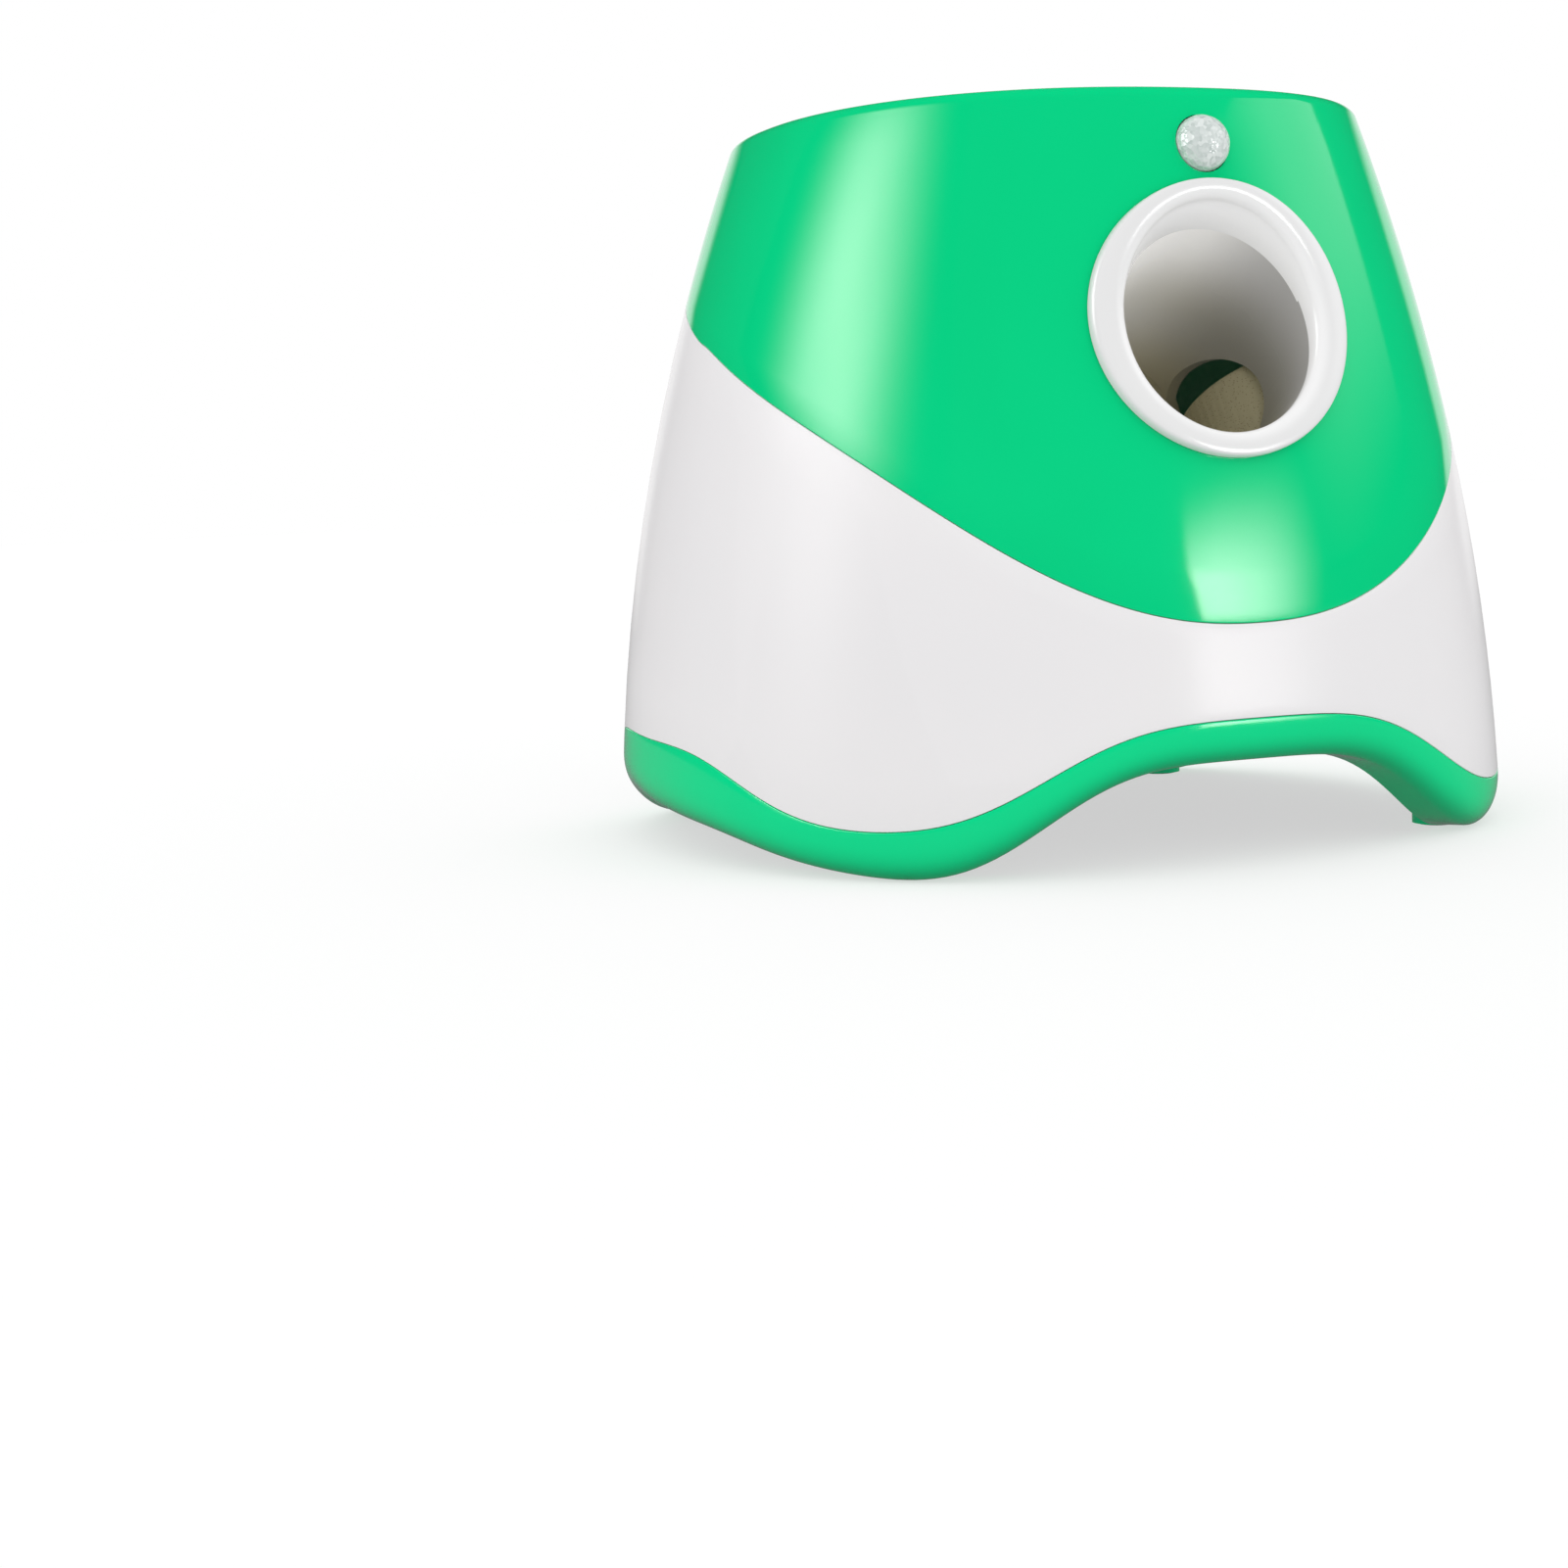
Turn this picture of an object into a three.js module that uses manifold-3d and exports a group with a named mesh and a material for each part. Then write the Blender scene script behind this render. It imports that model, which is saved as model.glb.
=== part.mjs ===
// Automatic ball launcher for a dog. Balls dropped in the bowl on top fall one at a time to the low
// end of an inclined tube, a kicker pushes each ball between two spinning wheels, and the wheels throw
// it out of the mouth. Millimetres, +Z up, the mouth faces -Y, and the origin is on the floor under
// the middle of the body. Angles round the body start at the front and turn towards +X.
import * as THREE from "three";
import { mergeVertices } from "three/addons/utils/BufferGeometryUtils.js";
import Module from "manifold-3d";

const wasm = await Module();
wasm.setup();

// Balls and clearances
const ballDiameter = 50;
const boreClearance = 3; // room round a ball in the tube
const chuteClearance = 3.5; // room round a falling ball
const seatGap = 0.3; // between two pieces that rest on each other
const lipGap = 0.4; // between a shell and the tongue behind it
const cutOverrun = 3; // how far a cutter passes the face that it opens
const weldDistance = 0.0001;

// Body outline
const baseWidth = 258.4;
const baseDepth = 246.8;
const topWidth = 174.8;
const topDepth = 180.7;
const widthBulge = 9.75; // how far the side stands out of the straight line from foot to rim
const depthBulge = 4.9;
const planFullnessShare = 2.28; // exponent of the plan outline, where 2 is an ellipse

// Heights of the seams and of the bottom edge at even steps from the front round to the back
const upperSeam = [63.8, 102.9, 144.1, 154.9, 115];
const lowerSeam = [
  39.1, 35.5, 20.5, 13.3, 16.9, 28.3, 32.4, 33.1, 23.8, 13.4, 20.7, 35.3, 39.2,
];
const skirtEdge = [27.7, 24.2, 7.2, 0, 3.1, 8.6, 11.8, 13.8, 7.6, 0, 7.2, 24.2, 27.7];

// Shells
const wall = 2.8;
const tongueThickness = 1.6;
const tongueHeight = 5;
const rimRadius = 3; // rounded top edge
const rimWidth = 9; // flat rim outside the bowl
const ledgeWidth = 4; // step that carries the bowl
const ledgeDepth = 2.6;
const skirtEdgeInset = 6.5; // rounded bottom edge of the skirt
const skirtEdgeHeight = 12;
const flangeWidth = 15; // flange under the skirt
const flangeThickness = 2.8;

// Feet and the four long screws through them
const footRadius = 5.5;
const footProud = 0.4; // how far the rubber stands below the skirt
const footPocket = 1.3;
const footInset = 16;
const footBossWall = 1.4;
const footBossHeight = 5.2;
const screwRadius = 1.5;
const screwHeadRadius = 3;
const screwHeadHeight = 1.8;
const screwLength = 44;
const postRadius = 5.5;
const shellBossHeight = 27;
const ribThickness = 3;

// Launch tube
const launchAngle = 32; // degrees above the floor
const tubeWall = 2.5;
const ringRadius = 38.6;
const ringHeightShare = 0.966; // the ring is a little lower than it is wide
const ringProud = 3;
const ringLensGap = 1.31; // from the ring up to the lens
const wheelDepth = 58; // from the mouth centre along the tube to the wheel axis
const wheelRadius = 31;
const wheelWidth = 22;
const wheelGrip = 4.5; // how far each wheel presses into a ball
const wheelRunningGap = 1.5;
const windowClearance = 2.7; // round a wheel where it enters the tube
const windowHeightShare = 0.8;
const wheelRoom = 1.2; // round a wheel outside the tube
const hubTopShare = 0.8; // height of the hub boss above its middle, of half the wheel
const tyreThickness = 6.7;
const restClearance = 6.5; // from a waiting ball to the wheels
const chuteRise = 15; // from the middle of the mouth up to the top of the chute
const capThickness = 3;
const saddleSpacing = 47;
const saddleFront = 30; // from the mouth centre back to the saddle
const saddleLength = 28;
const saddleWall = 3;

// Flywheel motors
const motorRadius = 14;
const motorLength = 38;
const motorBossRadius = 5;
const motorBossLength = 2;
const motorPlate = 3;
const motorPlateMargin = 3;
const shaftRadius = 1.6;
const shaftSeat = 5;

// Kicker and its gears
const kickerReach = 41; // from the tube axis down to the pivot
const kickerThickness = 6;
const kickerWidth = 10;
const kickerHead = 8; // how far the head reaches above the tube axis
const kickerShaftRadius = 2;
const kickerHubRadius = 6;
const earThickness = 3;
const earRadius = 7;
const slotWidth = 15;
const slotNotch = 6;
const slotTop = 14.5;
const gearModule = 1.5;
const kickerTeeth = 16;
const pinionTeeth = 8;
const gearWidth = 5;
const gearGap = 3; // from the ear to the gear
const gearFloorGap = 0.57; // from the kicker gear down to the floor plate
const dedendumShare = 1.2;
const addendumShare = 0.85;
const toothAngle = 20;
const backlash = 0.3;
const gearMotorRadius = 10;
const gearMotorLength = 38;
const gearboxLength = 14;
const gearMotorGap = 2; // from the pinion to the gearbox
const cradleWidth = 4;

// Floor and batteries
const plateThickness = 3;
const cellRadius = 13;
const cellLength = 50;
const nubRadius = 3.5;
const nubLength = 1.5;
const cellRows = 3;
const contactThickness = 1;
const contactBump = 0.8;
const contactMargin = 8;
const trayWall = 2;
const trayFront = 3;
const doorThickness = 2.3;
const doorMargin = 4;
const doorPinRadius = 1.2;
const doorBarrelRadius = 2.5;
const doorBarrelLength = 24;
const doorHingeSetback = 7.5;
const doorHingeDrop = 3;
const lugThickness = 4;
const lugRadius = 3;

// Sensor above the mouth
const sensorDrop = 15.4; // from the rim down to the middle of the lens
const lensRadius = 7.6;
const lensProud = 6;
const lensFlange = 1.5;
const lensSetback = 0.9; // from the curved wall to the lens flange behind it
const lensWall = 1;
const sensorCanRadius = 4.6;
const sensorCanHeight = 4.2;
const sensorBoardWidth = 26;
const sensorBoardHeight = 18;
const boardThickness = 1.6;
const sensorPostRadius = 2;

// Light gate in the chute
const gateReach = 53; // from the tube axis along the chute
const gateBlock = { depth: 6, width: 10, height: 13 };
const gateHoleRadius = 2;

// Electronics on the floor
const mainBoard = { x: -86, y: 10, width: 38, depth: 78, standoff: 5, standoffRadius: 2.5, inset: 5 };
const speaker = { x: 88, y: 12, radius: 20, frame: 6, magnetRadius: 11, magnet: 8, slot: 3, slots: 5 };

// Controls at the back
const panelHeight = 82;
const panelSize = { width: 72, height: 38, depth: 3.3, recess: 5, corner: 5, collar: 2.2, flange: 2.4 };
const rocker = { x: -24, width: 10.4, length: 16, pin: 1, rise: 2.6, dip: 1, depth: 3, tiltAngle: 10 };
const rockerHousing = { width: 15, length: 21, bezel: 1.4, depth: 20, room: 5.4 };
const button = { x: -4, radius: 6.5, proud: 1.8, travel: 1.2, flange: 1.6, flangeThickness: 1.5 };
const buttonSwitch = { size: 6, height: 2.9 };
const ledRadius = 1.8;
const ledProud = 1.2;
const ledFlange = 0.8;
const ledPitch = 5.5;
const ledStart = 7;
const jack = { x: 28, radius: 5.2, flange: 1.3, lip: 1.2, bore: 3.1, pin: 1, depth: 10, length: 12 };
const panelBoardDrop = 6.6;
const panelBoard = { x: 11, width: 50, height: 30 };

// Facet counts
const bodySteps = 48;
const wallRows = 4;
const arcRows = 3;
const ringSteps = 32;
const bowlRows = 4;
const fine = 32;
const medium = 20;
const coarse = 10;

// Worked out from the above
const degree = Math.PI / 180;
const ballRadius = ballDiameter / 2;
const boreRadius = ballRadius + boreClearance;
const tubeRadius = boreRadius + tubeWall;
const chuteRadius = ballRadius + chuteClearance;
const chuteOuter = chuteRadius + tubeWall;
const tongueInset = wall + lipGap;
const innerInset = tongueInset + tongueThickness;
const ledgeInset = rimWidth + ledgeWidth;
const slope = launchAngle * degree;
const plateBottom = skirtBottom(0) + flangeThickness + seatGap;
const plateTop = plateBottom + plateThickness;
const wheelX = wheelRadius + ballRadius - wheelGrip;
const nipDepth = Math.sqrt((wheelRadius + ballRadius) ** 2 - wheelX ** 2);
const ballRest = wheelDepth + nipDepth + restClearance;
const capDepth = ballRest + ballRadius + seatGap;
const pivotDepth = capDepth + kickerThickness / 2 + seatGap;
const pivotDrop = pivotDepth * Math.sin(slope) + kickerReach * Math.cos(slope);
const gearTip = gearModule * (kickerTeeth / 2 + addendumShare);
const mouthHeight = plateTop + gearFloorGap + gearTip + pivotDrop;
const sensorHeight = mouthHeight + ringRadius * ringHeightShare + ringLensGap + lensRadius;
const bodyHeight = sensorHeight + sensorDrop;
const mouthY = -halfDepthAt(mouthHeight);
const mouthTilt = wallTilt(mouthHeight);
const neckEnd = tubeRadius * Math.tan(slope - mouthTilt) + 2 * wall;
const chuteTop = mouthHeight + chuteRise;
const dropReach = (chuteRise + ballRest * Math.sin(slope)) / Math.cos(slope);
const dropY = mouthY + ballRest * Math.cos(slope) + dropReach * Math.sin(slope);
const chuteStretch = 1 / Math.cos(slope);
const motorPlateFoot = -wheelWidth / 2 - wheelRunningGap - motorPlate;
const motorPlateHead = motorPlateFoot + motorPlate;

function halfSize(base, top, bulge, z) {
  const t = z / bodyHeight;
  return ((1 - t) * base + t * top) / 2 + 4 * bulge * t * (1 - t);
}

function halfWidthAt(z) {
  return halfSize(baseWidth, topWidth, widthBulge, z);
}

function halfDepthAt(z) {
  return halfSize(baseDepth, topDepth, depthBulge, z);
}

// Angle by which the front wall leans back at a height.
function wallTilt(z) {
  const t = z / bodyHeight;
  const fall = (baseDepth - topDepth) / 2 - 4 * depthBulge * (1 - 2 * t);
  return Math.atan2(fall, bodyHeight);
}

// Height of the tube axis over a place on the centre line.
function tubeAxisAt(y) {
  return mouthHeight - (y - mouthY) * Math.tan(slope);
}

// Smooth height round the body through heights listed from front to back.
function wave(heights, angle) {
  const last = heights.length - 1;
  const ends = (index) => (index === 0 || index === last ? 1 / 2 : 1);
  let height = 0;
  for (let k = 0; k <= last; k++) {
    let weight = 0;
    heights.forEach((value, j) => {
      weight += value * ends(j) * Math.cos((Math.PI * k * j) / last);
    });
    height += (2 / last) * weight * ends(k) * Math.cos(k * angle);
  }
  return height;
}

function skirtBottom(angle) {
  return Math.max(0, wave(skirtEdge, angle));
}

// Point of the body outline at a height, moved in by an inset.
function wallPoint(angle, z, inset) {
  const power = 2 / planFullnessShare;
  const across = Math.sin(angle);
  const along = Math.cos(angle);
  const x = Math.sign(across) * Math.abs(across) ** power * (halfWidthAt(z) - inset);
  const y = -Math.sign(along) * Math.abs(along) ** power * (halfDepthAt(z) - inset);
  return new THREE.Vector3(x, y, z);
}

// Below zero inside the body, above zero outside it, for an outline moved out by lift.
function wallSide(point, lift) {
  const x = Math.abs(point.x) / (halfWidthAt(point.z) + lift);
  const y = Math.abs(point.y) / (halfDepthAt(point.z) + lift);
  return x ** planFullnessShare + y ** planFullnessShare - 1;
}

// Where a line from a start point meets the wall moved out by lift.
function ontoWall(start, direction, lift) {
  let low = -ringRadius;
  let high = ringRadius;
  const at = (t) => start.clone().addScaledVector(direction, t);
  for (let k = 0; k < 40; k++) {
    const middle = (low + high) / 2;
    if (wallSide(at(middle), lift) > 0) high = middle;
    else low = middle;
  }
  return at(low);
}

// Low and high end of a stretch between two distances from the middle, on one side.
function onSide(side, near, far) {
  return side > 0 ? [near, far] : [-far, -near];
}

function mix(a, b, share) {
  return a + (b - a) * share;
}

// Surface through closed loops of points. The last loop joins the first, or both ends are capped.
function loft(loops, capped) {
  const count = loops[0].length;
  const positions = loops.flat().flatMap((p) => [p.x, p.y, p.z]);
  const index = [];
  const spans = capped ? loops.length - 1 : loops.length;
  for (let j = 0; j < spans; j++) {
    const below = j * count;
    const above = ((j + 1) % loops.length) * count;
    for (let i = 0; i < count; i++) {
      const next = (i + 1) % count;
      index.push(below + i, below + next, above + next);
      index.push(below + i, above + next, above + i);
    }
  }
  if (capped) {
    const ends = [loops[0], loops[loops.length - 1]];
    ends.forEach((loop, end) => {
      const centre = new THREE.Vector3();
      loop.forEach((p) => centre.addScaledVector(p, 1 / count));
      const hub = positions.length / 3;
      positions.push(centre.x, centre.y, centre.z);
      const first = end ? (loops.length - 1) * count : 0;
      for (let i = 0; i < count; i++) {
        const next = (i + 1) % count;
        if (end) index.push(hub, first + i, first + next);
        else index.push(hub, first + next, first + i);
      }
    });
  }
  const geometry = new THREE.BufferGeometry();
  geometry.setAttribute("position", new THREE.Float32BufferAttribute(positions, 3));
  geometry.setIndex(index);
  return geometry;
}

// Body-shaped band from a profile of [inset, height] points, listed up the outside and down the inside.
function bodyBand(profileAt) {
  const columns = [];
  for (let i = 0; i < bodySteps; i++) {
    const angle = (2 * Math.PI * i) / bodySteps;
    columns.push(profileAt(angle).map(([inset, z]) => wallPoint(angle, z, inset)));
  }
  return loft(columns[0].map((_, j) => columns.map((column) => column[j])), false);
}

// Solid block with the body's outline between two heights.
function bodyBlock(inset, from, to, rows) {
  const loops = [];
  for (let j = 0; j <= rows; j++) {
    const z = mix(from, to, j / rows);
    const loop = [];
    for (let i = 0; i < bodySteps; i++) loop.push(wallPoint((2 * Math.PI * i) / bodySteps, z, inset));
    loops.push(loop);
  }
  return loft(loops, true);
}

// Round bar along an axis from one end to the other, at the two other coordinates.
function rod(axis, radius, from, to, a, b, sides) {
  const geometry = new THREE.CylinderGeometry(radius, radius, to - from, sides);
  const middle = (from + to) / 2;
  if (axis === "x") geometry.rotateZ(-Math.PI / 2).translate(middle, a, b);
  else if (axis === "y") geometry.translate(a, middle, b);
  else geometry.rotateX(Math.PI / 2).translate(a, b, middle);
  return geometry;
}

function block(x0, x1, y0, y1, z0, z1) {
  const geometry = new THREE.BoxGeometry(x1 - x0, y1 - y0, z1 - z0);
  return geometry.translate((x0 + x1) / 2, (y0 + y1) / 2, (z0 + z1) / 2);
}

// Solid of revolution about Z from [radius, height] points, listed so that the outside goes upwards.
function turned(profile, sides) {
  const points = profile.map(([radius, height]) => new THREE.Vector2(radius, height));
  return new THREE.LatheGeometry(points, sides).rotateX(Math.PI / 2);
}

function roundedPlate(width, height, corner, from, to) {
  const x = width / 2;
  const y = height / 2;
  const shape = new THREE.Shape();
  shape.moveTo(-x + corner, -y);
  shape.lineTo(x - corner, -y);
  shape.absarc(x - corner, -y + corner, corner, -Math.PI / 2, 0);
  shape.absarc(x - corner, y - corner, corner, 0, Math.PI / 2);
  shape.absarc(-x + corner, y - corner, corner, Math.PI / 2, Math.PI);
  shape.absarc(-x + corner, -y + corner, corner, Math.PI, (3 * Math.PI) / 2);
  const options = { depth: to - from, bevelEnabled: false, curveSegments: 5 };
  return new THREE.ExtrudeGeometry(shape, options).translate(0, 0, from);
}

// Closed mesh as a solid that can be joined and cut.
function solidOf(item) {
  if (!item.isBufferGeometry) return item;
  const plain = item.index ? item.toNonIndexed() : item;
  const bare = new THREE.BufferGeometry();
  bare.setAttribute("position", plain.getAttribute("position"));
  const merged = mergeVertices(bare, weldDistance);
  const corners = merged.index.array;
  const kept = [];
  for (let i = 0; i < corners.length; i += 3) {
    const [a, b, c] = [corners[i], corners[i + 1], corners[i + 2]];
    if (a !== b && b !== c && c !== a) kept.push(a, b, c);
  }
  const mesh = new wasm.Mesh({
    numProp: 3,
    vertProperties: merged.attributes.position.array,
    triVerts: new Uint32Array(kept),
  });
  return new wasm.Manifold(mesh);
}

function joined(...items) {
  return items.map(solidOf).reduce((a, b) => a.add(b));
}

function without(base, ...cutters) {
  return cutters.reduce((left, cutter) => left.subtract(solidOf(cutter)), solidOf(base));
}

function common(a, b) {
  return solidOf(a).intersect(solidOf(b));
}

function geometryOf(item) {
  const { numProp, vertProperties, triVerts } = solidOf(item).getMesh();
  const positions = [];
  for (let i = 0; i < vertProperties.length; i += numProp) {
    positions.push(vertProperties[i], vertProperties[i + 1], vertProperties[i + 2]);
  }
  const geometry = new THREE.BufferGeometry();
  geometry.setAttribute("position", new THREE.Float32BufferAttribute(positions, 3));
  geometry.setIndex([...triVerts]);
  geometry.computeVertexNormals();
  return geometry;
}

function finish(color, roughness, metalness) {
  return () => new THREE.MeshStandardMaterial({ color, roughness, metalness, flatShading: true });
}

const finishes = {
  greenShell: finish(0x0cd885, 0.28, 0),
  whiteShell: finish(0xe8e6e7, 0.3, 0),
  tube: finish(0xdddbd8, 0.4, 0),
  lens: finish(0xd8dee0, 0.35, 0),
  rubber: finish(0x26262a, 0.85, 0),
  tyre: finish(0x8b8667, 0.8, 0),
  hub: finish(0x2f3236, 0.5, 0),
  steel: finish(0xb4b7ba, 0.35, 1),
  brass: finish(0xc9a24b, 0.4, 1),
  darkPlastic: finish(0x2b2d30, 0.5, 0),
  palePlastic: finish(0xc9cac6, 0.5, 0),
  circuit: finish(0x0d5c36, 0.5, 0),
  cell: finish(0x3c4a5a, 0.4, 0.2),
  red: finish(0xb8252a, 0.3, 0),
  amber: finish(0xe08a1c, 0.3, 0),
  signalGreen: finish(0x2fb24a, 0.3, 0),
};

const launcher = new THREE.Group();
launcher.position.z = footProud;

function add(parent, name, item, finishName) {
  const mesh = new THREE.Mesh(geometryOf(item), finishes[finishName]());
  mesh.name = name;
  parent.add(mesh);
  return mesh;
}

// Frame on the centre line of the wall at a height: Z points out of the wall and Y up along it.
function wallFrame(height, atBack) {
  const frame = new THREE.Group();
  frame.rotation.set(Math.PI / 2 - wallTilt(height), 0, atBack ? Math.PI : 0, "ZYX");
  frame.position.set(0, (atBack ? 1 : -1) * halfDepthAt(height), height);
  frame.updateMatrix();
  return frame;
}

// Frame of the launch tube: Z points out of the mouth and Y away from the tube's underside.
function launchFrame() {
  const frame = new THREE.Group();
  frame.rotation.x = Math.PI / 2 - slope;
  frame.position.set(0, mouthY, mouthHeight);
  frame.updateMatrix();
  return frame;
}

const tubeFrame = launchFrame();
const sensorFrame = wallFrame(sensorHeight, false);
const panelFrame = wallFrame(panelHeight, true);
launcher.add(tubeFrame, sensorFrame, panelFrame);

function placed(geometry, frame) {
  return geometry.applyMatrix4(frame.matrix);
}

function footPlaces() {
  return ["front_right", "back_right", "back_left", "front_left"].map((name, k) => {
    const angle = (Math.PI / 4) * (2 * k + 1);
    const centre = wallPoint(angle, 0, footInset);
    return { name, angle, x: centre.x, y: centre.y };
  });
}

// Shells

function upperShell() {
  const ledgeZ = bodyHeight - ledgeDepth;
  const shoulder = bodyHeight - rimRadius;
  const shell = bodyBand((angle) => {
    const low = wave(upperSeam, angle) + seatGap / 2;
    const points = [];
    for (let k = 0; k <= wallRows; k++) points.push([0, mix(low, shoulder, k / wallRows)]);
    for (let k = 1; k <= arcRows; k++) {
      const turn = (Math.PI / 2) * (k / arcRows);
      points.push([rimRadius * (1 - Math.cos(turn)), shoulder + rimRadius * Math.sin(turn)]);
    }
    points.push([rimWidth, bodyHeight], [rimWidth, ledgeZ]);
    points.push([ledgeInset, ledgeZ], [ledgeInset, ledgeZ - wall]);
    for (let k = wallRows; k >= 0; k--) points.push([wall, mix(low, ledgeZ - wall, k / wallRows)]);
    return points;
  });
  const mouth = placed(
    rod("z", tubeRadius + seatGap, -ringRadius, ringRadius, 0, 0, ringSteps),
    tubeFrame,
  );
  const lensHole = placed(
    rod("z", lensRadius + seatGap, -wall - cutOverrun, cutOverrun, 0, 0, medium),
    sensorFrame,
  );
  const posts = sensorPostPlaces().map(({ x, y }) =>
    placed(
      rod("z", sensorPostRadius, sensorBoardTop() + seatGap, -wall / 2, x, y, coarse),
      sensorFrame,
    ),
  );
  return without(joined(shell, ...posts), mouth, lensHole);
}

function lowerShell() {
  const shell = bodyBand((angle) => {
    const low = wave(lowerSeam, angle) + seatGap / 2;
    const high = wave(upperSeam, angle) - seatGap / 2;
    const tongueFoot = high - tongueHeight;
    const points = [];
    for (let k = 0; k <= wallRows; k++) points.push([0, mix(low, high, k / wallRows)]);
    points.push([tongueInset, high], [tongueInset, high + tongueHeight]);
    points.push([innerInset, high + tongueHeight], [innerInset, tongueFoot]);
    const wallTop = tongueFoot - (innerInset - wall);
    for (let k = wallRows; k >= 0; k--) points.push([wall, mix(low, wallTop, k / wallRows)]);
    return points;
  });
  const bossFoot = plateTop + seatGap;
  const bossTop = bossFoot + shellBossHeight;
  const ribFoot = bossFoot + shellBossHeight / 4;
  const bosses = footPlaces().map(({ x, y }) => {
    const rib = block(0, footInset, -ribThickness / 2, ribThickness / 2, ribFoot, bossTop);
    rib.rotateZ(Math.atan2(y, x)).translate(x, y, 0);
    return joined(rod("z", postRadius, bossFoot, bossTop, x, y, coarse), rib);
  });
  const holes = footPlaces().map(({ x, y }) =>
    rod("z", screwRadius + seatGap, bossFoot - cutOverrun, bossTop - wall, x, y, coarse),
  );
  const inside = bodyBlock(wall / 2, bossFoot, bossTop, 1);
  const { width, height, corner, collar, recess, depth } = panelSize;
  const collarFoot = -recess - depth + seatGap;
  const frame = placed(
    roundedPlate(width + 2 * collar, height + 2 * collar, corner + collar, collarFoot, wall),
    panelFrame,
  );
  const outline = bodyBlock(0, wave(lowerSeam, Math.PI), wave(upperSeam, Math.PI), wallRows);
  const window = placed(
    roundedPlate(
      width + 2 * seatGap,
      height + 2 * seatGap,
      corner + seatGap,
      collarFoot - cutOverrun,
      wall + cutOverrun,
    ),
    panelFrame,
  );
  const body = joined(shell, common(joined(...bosses), inside), common(frame, outline));
  return without(body, window, ...holes);
}

function baseSkirt() {
  const band = bodyBand((angle) => {
    const bottom = skirtBottom(angle);
    const top = wave(lowerSeam, angle) - seatGap / 2;
    const edgeHeight = Math.min(skirtEdgeHeight, top - bottom - seatGap);
    const points = [];
    for (let k = 0; k <= arcRows; k++) {
      const turn = (Math.PI / 2) * (k / arcRows);
      const inset = skirtEdgeInset * (1 - Math.sin(turn));
      points.push([inset, bottom + edgeHeight * (1 - Math.cos(turn))]);
    }
    points.push([0, top], [tongueInset, top], [tongueInset, top + tongueHeight]);
    points.push([innerInset, top + tongueHeight], [innerInset, bottom + flangeThickness]);
    points.push([flangeWidth, bottom + flangeThickness], [flangeWidth, bottom]);
    return points;
  });
  const pads = footPlaces().map(({ x, y }) =>
    rod("z", footRadius + footBossWall, 0, footBossHeight, x, y, medium),
  );
  const cuts = footPlaces().flatMap(({ x, y }) => {
    const seat = footPocket + seatGap + screwHeadHeight + seatGap;
    return [
      rod("z", footRadius + seatGap, -cutOverrun, footPocket, x, y, medium),
      rod("z", screwHeadRadius + seatGap, 0, seat, x, y, coarse),
      rod("z", screwRadius + seatGap, 0, footBossHeight + cutOverrun, x, y, coarse),
    ];
  });
  return without(joined(band, ...pads), ...cuts);
}

// Bowl with a flange that hangs on the rim's ledge and a throat that ends on the chute.
function hopperBowl() {
  const flangeTop = bodyHeight - seatGap;
  const flangeFoot = bodyHeight - ledgeDepth + seatGap;
  const throatFoot = chuteTop + seatGap;
  const throatTop = throatFoot + 2 * wall;
  const start = ledgeInset + wall + lipGap;
  const around = Array.from({ length: bodySteps }, (_, i) => (2 * Math.PI * i) / bodySteps);
  const circle = (radius, z) =>
    around.map((a) => {
      const along = radius * chuteStretch * Math.cos(a);
      return new THREE.Vector3(radius * Math.sin(a), dropY - along, z);
    });
  const outline = (inset, z) => around.map((a) => wallPoint(a, z, inset));
  const rimLoop = outline(start, flangeTop - seatGap);
  const throatLoop = circle(chuteRadius, throatTop);
  const dish = [];
  for (let k = 0; k <= bowlRows; k++) {
    const share = k / bowlRows;
    const drop = mix(1 - (1 - share) ** 2, share, 0.4);
    dish.push(
      rimLoop.map((p, i) => {
        const q = p.clone().lerp(throatLoop[i], share);
        q.z = mix(p.z, throatTop, drop);
        return q;
      }),
    );
  }
  const under = dish.map((loop, k) =>
    loop.map((p, i) => {
      const before = dish[Math.max(k - 1, 0)][i];
      const after = dish[Math.min(k + 1, bowlRows)][i];
      const inward = after.clone().sub(before);
      const round = loop[(i + 1) % bodySteps].clone().sub(loop[(i + bodySteps - 1) % bodySteps]);
      return p.clone().addScaledVector(inward.cross(round).normalize(), wall);
    }),
  );
  under[bowlRows] = circle(chuteRadius + tubeWall, throatTop - wall / 2);
  const loops = [outline(rimWidth + seatGap, flangeTop), ...dish];
  loops.push(circle(chuteRadius, throatFoot), circle(chuteRadius + tubeWall, throatFoot));
  loops.push(...under.slice(1).reverse());
  loops.push(outline(ledgeInset + seatGap, flangeFoot), outline(rimWidth + seatGap, flangeFoot));
  return loft(loops, false);
}

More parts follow.
